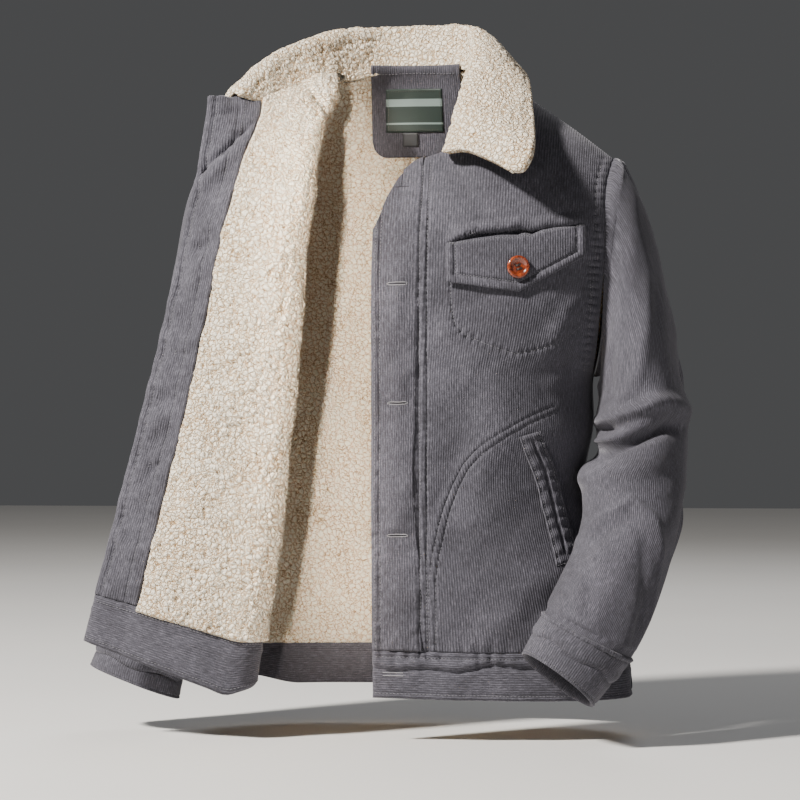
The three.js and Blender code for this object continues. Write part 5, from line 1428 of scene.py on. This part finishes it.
# ---------------------------------------------------------------- stitches
front_runs = [front_run(POCKET_LINE, 2.3), front_run(CURVED_SEAM, 2.2), front_run(CURVED_SEAM_2, 2.3),
              front_run([(28.7, -112), (28.7, -360), (28.2, -608)], 2.4),
              placket_run([(-18.5, -160), (-18.5, -360), (-18.5, -606)], 0.1),
              placket_run([(-23.5, -172), (-23.5, -360), (-23.5, -606)], 0.1),
              placket_run([(19.6, -118), (19.6, -360), (19.6, -608)], 0.1)]
arm_line = [(float(side_x(np.array(float(z)), 1)) - 9.5, z) for z in range(-112, -332, -8)]
front_runs.append(front_run(arm_line, 2.4))
for height in (-266, -272):
    front_runs.append(front_run([(52, height), (58, height - 1)], 2.7))
runs = [front_run([(121.2, -392.5), (139.4, -387.5)], 4.5), front_run([(156, -523), (176, -517)], 4.5)]
front_runs += runs
left_front_stitches = sewn("left_front_stitching", front_runs, grey_thread)

flap_runs = {}
for side_name in ("left", "right"):
    _, outer, normal, fx, fz = details[side_name + "_flap"]
    surface_n = grid_normals(outer, -1)
    if side_name == "left" and (surface_n[..., 1].mean() > 0):
        surface_n = -surface_n
    columns = outer.shape[1]
    cols = np.arange(5, columns - 5, 0.5)
    xs = mix(FLAP_OUTLINE["inner"], FLAP_OUTLINE["outer"], cols / (columns - 1))
    tops = slot_z(xs) - slot_gap(xs)
    lows = flap_edge(xs)
    bottom_rows = (1 - FLAP_SEAM_IN * 1.05 / (tops - lows)) * (outer.shape[0] - 1)
    col_step = (FLAP_OUTLINE["outer"] - FLAP_OUTLINE["inner"]) / (columns - 1)
    left_col, right_col = FLAP_SEAM_IN / col_step, columns - 1 - FLAP_SEAM_IN / col_step
    inside = (cols >= left_col) & (cols <= right_col)
    side_rows = np.arange(2, bottom_rows[inside][0], 0.5)
    end_rows = np.arange(2, bottom_rows[inside][-1], 0.5)
    line = [(r, left_col) for r in side_rows] + list(zip(bottom_rows[inside], cols[inside])) + [
        (r, right_col) for r in end_rows[::-1]]
    line = np.array(line)
    run = grid_run(outer, surface_n, line[:, 0], line[:, 1], 0.15)
    top_line = np.array([(3.2, c) for c in np.arange(3, columns - 3, 0.5)])
    top_run = grid_run(outer, surface_n, top_line[:, 0], top_line[:, 1], 0.15)
    bars = []
    for c0, c1 in ((2, 7), (columns - 8, columns - 3)):
        for r in (1.6, 2.4, 3.2):
            bar = np.array([(r, c) for c in np.arange(c0, c1, 0.5)])
            bars.append(grid_run(outer, surface_n, bar[:, 0], bar[:, 1], 0.3))
    _, welt_outer, _, wx, wz = details[side_name + "_welt"]
    welt_n = grid_normals(welt_outer, 1)
    if side_name == "left" and welt_n[..., 1].mean() > 0:
        welt_n = -welt_n
    welt_rows = np.arange(1, welt_outer.shape[0] - 2, 0.5)
    welt_runs = [grid_run(welt_outer, welt_n, welt_rows, np.full(len(welt_rows), c), 0.15) for c in (2.4, 19.6)]
    flap_runs[side_name] = [run, top_run] + bars + welt_runs
left_pocket_stitches = sewn("left_pocket_stitching", flap_runs["left"], grey_thread, length=2.6, pitch=3.3)
right_pocket_stitches = sewn("right_pocket_stitching", flap_runs["right"], grey_thread, length=2.6, pitch=3.3)

# Buttonholes: a dense oval of pale thread, worked through the placket; the top buttonhole has no thread, only its slit
hole_runs = []
for height in BUTTONHOLES[1:]:
    for dz in (-1.25, 1.25):
        line = [(-10.5, height + dz * 0.4), (-8, height + dz), (7, height + dz), (9.5, height + dz * 0.4)]
        hole_runs.append(placket_run(line, 0.25))
    hole_runs.append(placket_run([(-10.6, height - 1.8), (-10.6, height + 1.8)], 0.3))
    hole_runs.append(placket_run([(9.6, height - 1.8), (9.6, height + 1.8)], 0.3))
band_rows = np.interp([BAND_BUTTON_Z], left_band_out[:, 12, 2], np.arange(left_band_out.shape[0]))[0]
band_n = grid_normals(left_band_out, 1)
hole_cols = np.interp(np.linspace(-17, 5, 20), left_band_out[14, :, 0], np.arange(left_band_out.shape[1]))
for shift in (-0.75, 0.75):
    hole_runs.append(grid_run(left_band_out, band_n, np.full(20, band_rows + shift), hole_cols, 0.3))
buttonholes = sewn("buttonhole_stitching", hole_runs, pale_thread, length=2.6, pitch=1.1, radius=0.5)

# Buttonhole slits: flat dark strips on the placket, painted shade in place of each slit's opening
slit_points, slit_faces = [], []
for height in BUTTONHOLES:
    p, n = placket_run([(-9, height), (8, height)], 0.12)
    start = len(slit_points)
    for a, b in zip(p, n):
        slit_points += [a + np.array([0, 0, 0.7]), a - np.array([0, 0, 0.7])]
    slit_faces += [(start + 2 * k, start + 2 * k + 1, start + 2 * k + 3, start + 2 * k + 2) for k in range(len(p) - 1)]
slit_shadow_finish, _, slit_shader = new_finish("buttonhole_slit_shadow", {"Roughness": 0.95})
slit_shader.inputs["Base Color"].default_value = srgb("#1D1C20")
slits = new_object("buttonhole_slits", np.array(slit_points), slit_faces, slit_shadow_finish)

# Right front inside: facing edge stitch, facing seam, button thread marks
facing_cols = facing_top.shape[1] - 1
def facing_run(inset):
    column = np.full(facing_top.shape[0] - 6, facing_cols * (1 - inset / (FACING_WIDTH - 0.8)))
    return grid_run(facing_top, facing_normals, np.arange(3, facing_top.shape[0] - 3), column, 0.15)
facing_runs = [facing_run(inset) for inset in FACING_SEAMS]
for mark in BUTTON_MARKS:
    row = mark / RIGHT_FRONT_HEIGHT * (facing_top.shape[0] - 1)
    cols = facing_cols * (1 - np.linspace(21, 27, 5) / FACING_WIDTH)
    for dr in (-0.8, 0.8):
        facing_runs.append(grid_run(facing_top, facing_normals, np.full(5, row + dr), cols, 0.3))
right_front_stitches = sewn("right_facing_stitching", facing_runs, grey_thread)

band_runs = []
for top, normals_here in ((left_band_out, band_n), (back_band_out, -grid_normals(back_band_out, 1))):
    for down in BAND_SEAMS:
        row = np.full(top.shape[1] - 2, (1 - down / BAND_DEPTH) * (top.shape[0] - 1))
        band_runs.append(grid_run(top, normals_here, row, np.arange(1, top.shape[1] - 1), 0.15))
inner_n = -grid_normals(right_band_in, 1)
for down in BAND_SEAMS:
    row = np.full(right_band_in.shape[1] - 4, (1 - down / BAND_DEPTH) * (right_band_in.shape[0] - 1))
    band_runs.append(grid_run(right_band_in, inner_n, row, np.arange(2, right_band_in.shape[1] - 2), 0.15))
    band_runs.append(grid_run(right_band_out, -inner_n, row, np.arange(2, right_band_in.shape[1] - 2), 0.15))
band_stitches = sewn("hem_band_stitching", band_runs, grey_thread)

sleeve_runs = []
for name in ("left", "right"):
    cuff_grid, cuff_normals = sleeve_parts[name]["cuff_grid"], sleeve_parts[name]["cuff_normals"]
    for down in CUFF_SEAMS:
        columns = np.arange(0, cuff_grid.shape[1] + 1)
        closed = np.concatenate([cuff_grid, cuff_grid[:, :2]], 1)
        closed_n = np.concatenate([cuff_normals, cuff_normals[:, :2]], 1)
        row = np.full(len(columns) - 1, down / CUFF_DEPTH * (cuff_grid.shape[0] - 1))
        sleeve_runs.append(grid_run(closed, closed_n, row, columns[:-1], 2.5))
cuff_stitches = sewn("cuff_stitching", sleeve_runs, grey_thread)
label_runs = [grid_run(label_top, label_normals, np.full(35, r), np.arange(3, 38), 0.15) for r in (1.6, 28.4)]
label_runs += [grid_run(label_top, label_normals, np.arange(2, 28), np.full(26, c), 0.15) for c in (1.6, 38.4)]
patch_cols = np.arange(2.5, 57.5, 0.5)
patch_runs = [grid_run(patch_top, patch_normals, np.full(len(patch_cols), 2.6), patch_cols, 0.15)]
neck_stitches = sewn("neck_patch_stitching", patch_runs, grey_thread)
label_stitches = sewn("neck_label_stitching", label_runs, dark_thread, length=2.0, pitch=2.6, radius=0.22)

# ---------------------------------------------------------------- each piece on the one body, in place of its solids
for obj, slot_name, nodes, flat, area, held in (
        (left_front, "corduroy", ["left_front_shell"], (0.32, 0.62), 0.168, "hung"),
        (left_lining, "sherpa", ["left_front_lining"], (0.28, 0.62), 0.138, "hung"),
        (left_facing, "corduroy", ["left_facing"], (0.055, 0.50), 0.0245, "hung"),
        (placket, "corduroy", ["left_placket"], (0.055, 0.50), 0.0242, "hung"),
        (back, "corduroy", ["back_shell"], (0.56, 0.63), 0.285, "hung"),
        (back_lining, "sherpa", ["back_lining"], (0.56, 0.63), 0.29, "hung"),
        (right_front, "corduroy", ["right_front_shell"], (0.40, 0.62), 0.175, "folded"),
        (right_lining, "sherpa", ["right_front_lining"], (0.34, 0.62), 0.145, "folded"),
        (right_facing, "corduroy", ["right_facing"], (0.05, 0.54), 0.0262, "folded"),
        (left_band, "corduroy", ["left_hem_band"], (0.31, 0.048), None, "hung"),
        (back_band, "corduroy", ["back_hem_band"], (0.50, 0.048), None, "hung"),
        (right_band, "corduroy", ["right_hem_band"], (0.37, 0.048), None, "folded"),
        (sleeve_parts["left"]["sleeve"], "corduroy", ["left_sleeve"], (0.46, 0.56), 0.142, "hung"),
        (sleeve_parts["right"]["sleeve"], "corduroy", ["right_sleeve"], (0.46, 0.56), 0.138, "hung"),
        (sleeve_parts["left"]["cuff"], "corduroy", ["left_cuff"], (0.25, 0.062), None, "hung"),
        (sleeve_parts["right"]["cuff"], "corduroy", ["right_cuff"], (0.21, 0.062), None, "hung"),
        (collar, "sherpa", ["collar_sherpa"], (0.56, 0.13), 0.06, "folded"),
        (under_collar, "corduroy", ["under_collar"], (0.56, 0.13), 0.054, "folded"),
        (details["left_flap"][0], "corduroy", ["left_chest_flap"], (0.135, 0.069), 0.0076, "hung"),
        (details["right_flap"][0], "corduroy", ["right_chest_flap"], (0.135, 0.069), 0.0076, "hung"),
        (details["left_welt"][0], "corduroy", ["left_pocket_welt"], (0.026, 0.137), None, "hung"),
        (details["right_welt"][0], "corduroy", ["right_pocket_welt"], (0.026, 0.137), None, "hung"),
        (neck_patch, "corduroy", ["neck_patch"], (0.101, 0.087), 0.0085, "hung"),
        (neck_label, "woven_label", ["neck_label"], (0.063, 0.046), None, "hung"),
        (size_tag, "size_tag", ["size_tag"], (0.0165, 0.0145), None, "hung")):
    finish_piece(obj, slot_name, *nodes)
for obj in (left_front_stitches, left_pocket_stitches, right_pocket_stitches, buttonholes, slits,
            right_front_stitches, band_stitches, cuff_stitches, neck_stitches, label_stitches):
    finish_piece(obj, "corduroy")

# ---------------------------------------------------------------- floor, light and camera
floor_finish, floor_tree, floor_shader = new_finish("floor_matt_paper", {"Roughness": 0.7})
place = add(floor_tree, "ShaderNodeTexCoord").outputs["Object"]
mottle = add(floor_tree, "ShaderNodeTexNoise", None, {"Vector": place, "Scale": 2.0}).outputs["Fac"]
floor_tree.links.new(colour_steps(floor_tree, mottle, [(0.0, "#C9C8C7"), (1.0, "#D2D1D0")]),
                     floor_shader.inputs["Base Color"])
reach = 6000
floor = new_object("floor", np.array([(-reach, -reach, -700), (reach, -reach, -700), (reach, reach, -700),
                                      (-reach, reach, -700)]), [(0, 1, 2, 3)], floor_finish)


def studio_light(name, place, target, size, power, colour, spread=180, tall=None):
    lamp = bpy.data.lights.new(name, "AREA")
    if tall:
        lamp.shape, lamp.size_y = "RECTANGLE", tall
    lamp.size, lamp.energy, lamp.color, lamp.spread = size, power, srgb(colour)[:3], math.radians(spread)
    obj = bpy.data.objects.new(name, lamp)
    bpy.context.scene.collection.objects.link(obj)
    obj.location = place
    direction = np.array(target) - np.array(place)
    obj.rotation_euler = (math.acos(-direction[2] / np.linalg.norm(direction)), 0,
                          math.atan2(direction[1], direction[0]) - math.pi / 2)
    return obj


studio_light("key_light", (-2.0, -2.1, 1.9), (0.0, -0.1, -0.3), 0.34, 430, "#FFFAF2")
# a narrow strip of light from the front reaches the lining inside the open front
studio_light("opening_light", (-0.115, -1.7, -0.32), (-0.075, 0.0, -0.34), 0.05, 0.62, "#FFF1DF", 7, 0.6)
studio_light("fill_light", (2.2, -2.0, 0.3), (0.0, 0.0, -0.35), 1.8, 3.5, "#F4F6FF")
studio_light("back_light", (0.4, 2.2, 1.6), (0.0, 0.0, -0.2), 1.4, 26, "#FFFFFF")
world = bpy.data.worlds.new("studio")
bpy.context.scene.world = world
world.use_nodes = True
world.node_tree.nodes["Background"].inputs[0].default_value = srgb("#B9BABC")
world.node_tree.nodes["Background"].inputs[1].default_value = 0.15

camera_data = bpy.data.cameras.new("camera")
camera_data.sensor_width = 36
camera_data.angle = 2 * math.atan(428 / 3000)
camera_data.clip_end = 50
camera = bpy.data.objects.new("camera", camera_data)
camera.location = (0.2955, -2.9855, -0.3552)
camera.rotation_euler = (math.pi / 2, 0, math.radians(6))
bpy.context.scene.collection.objects.link(camera)
bpy.context.scene.camera = camera

bpy.context.view_layer.update()
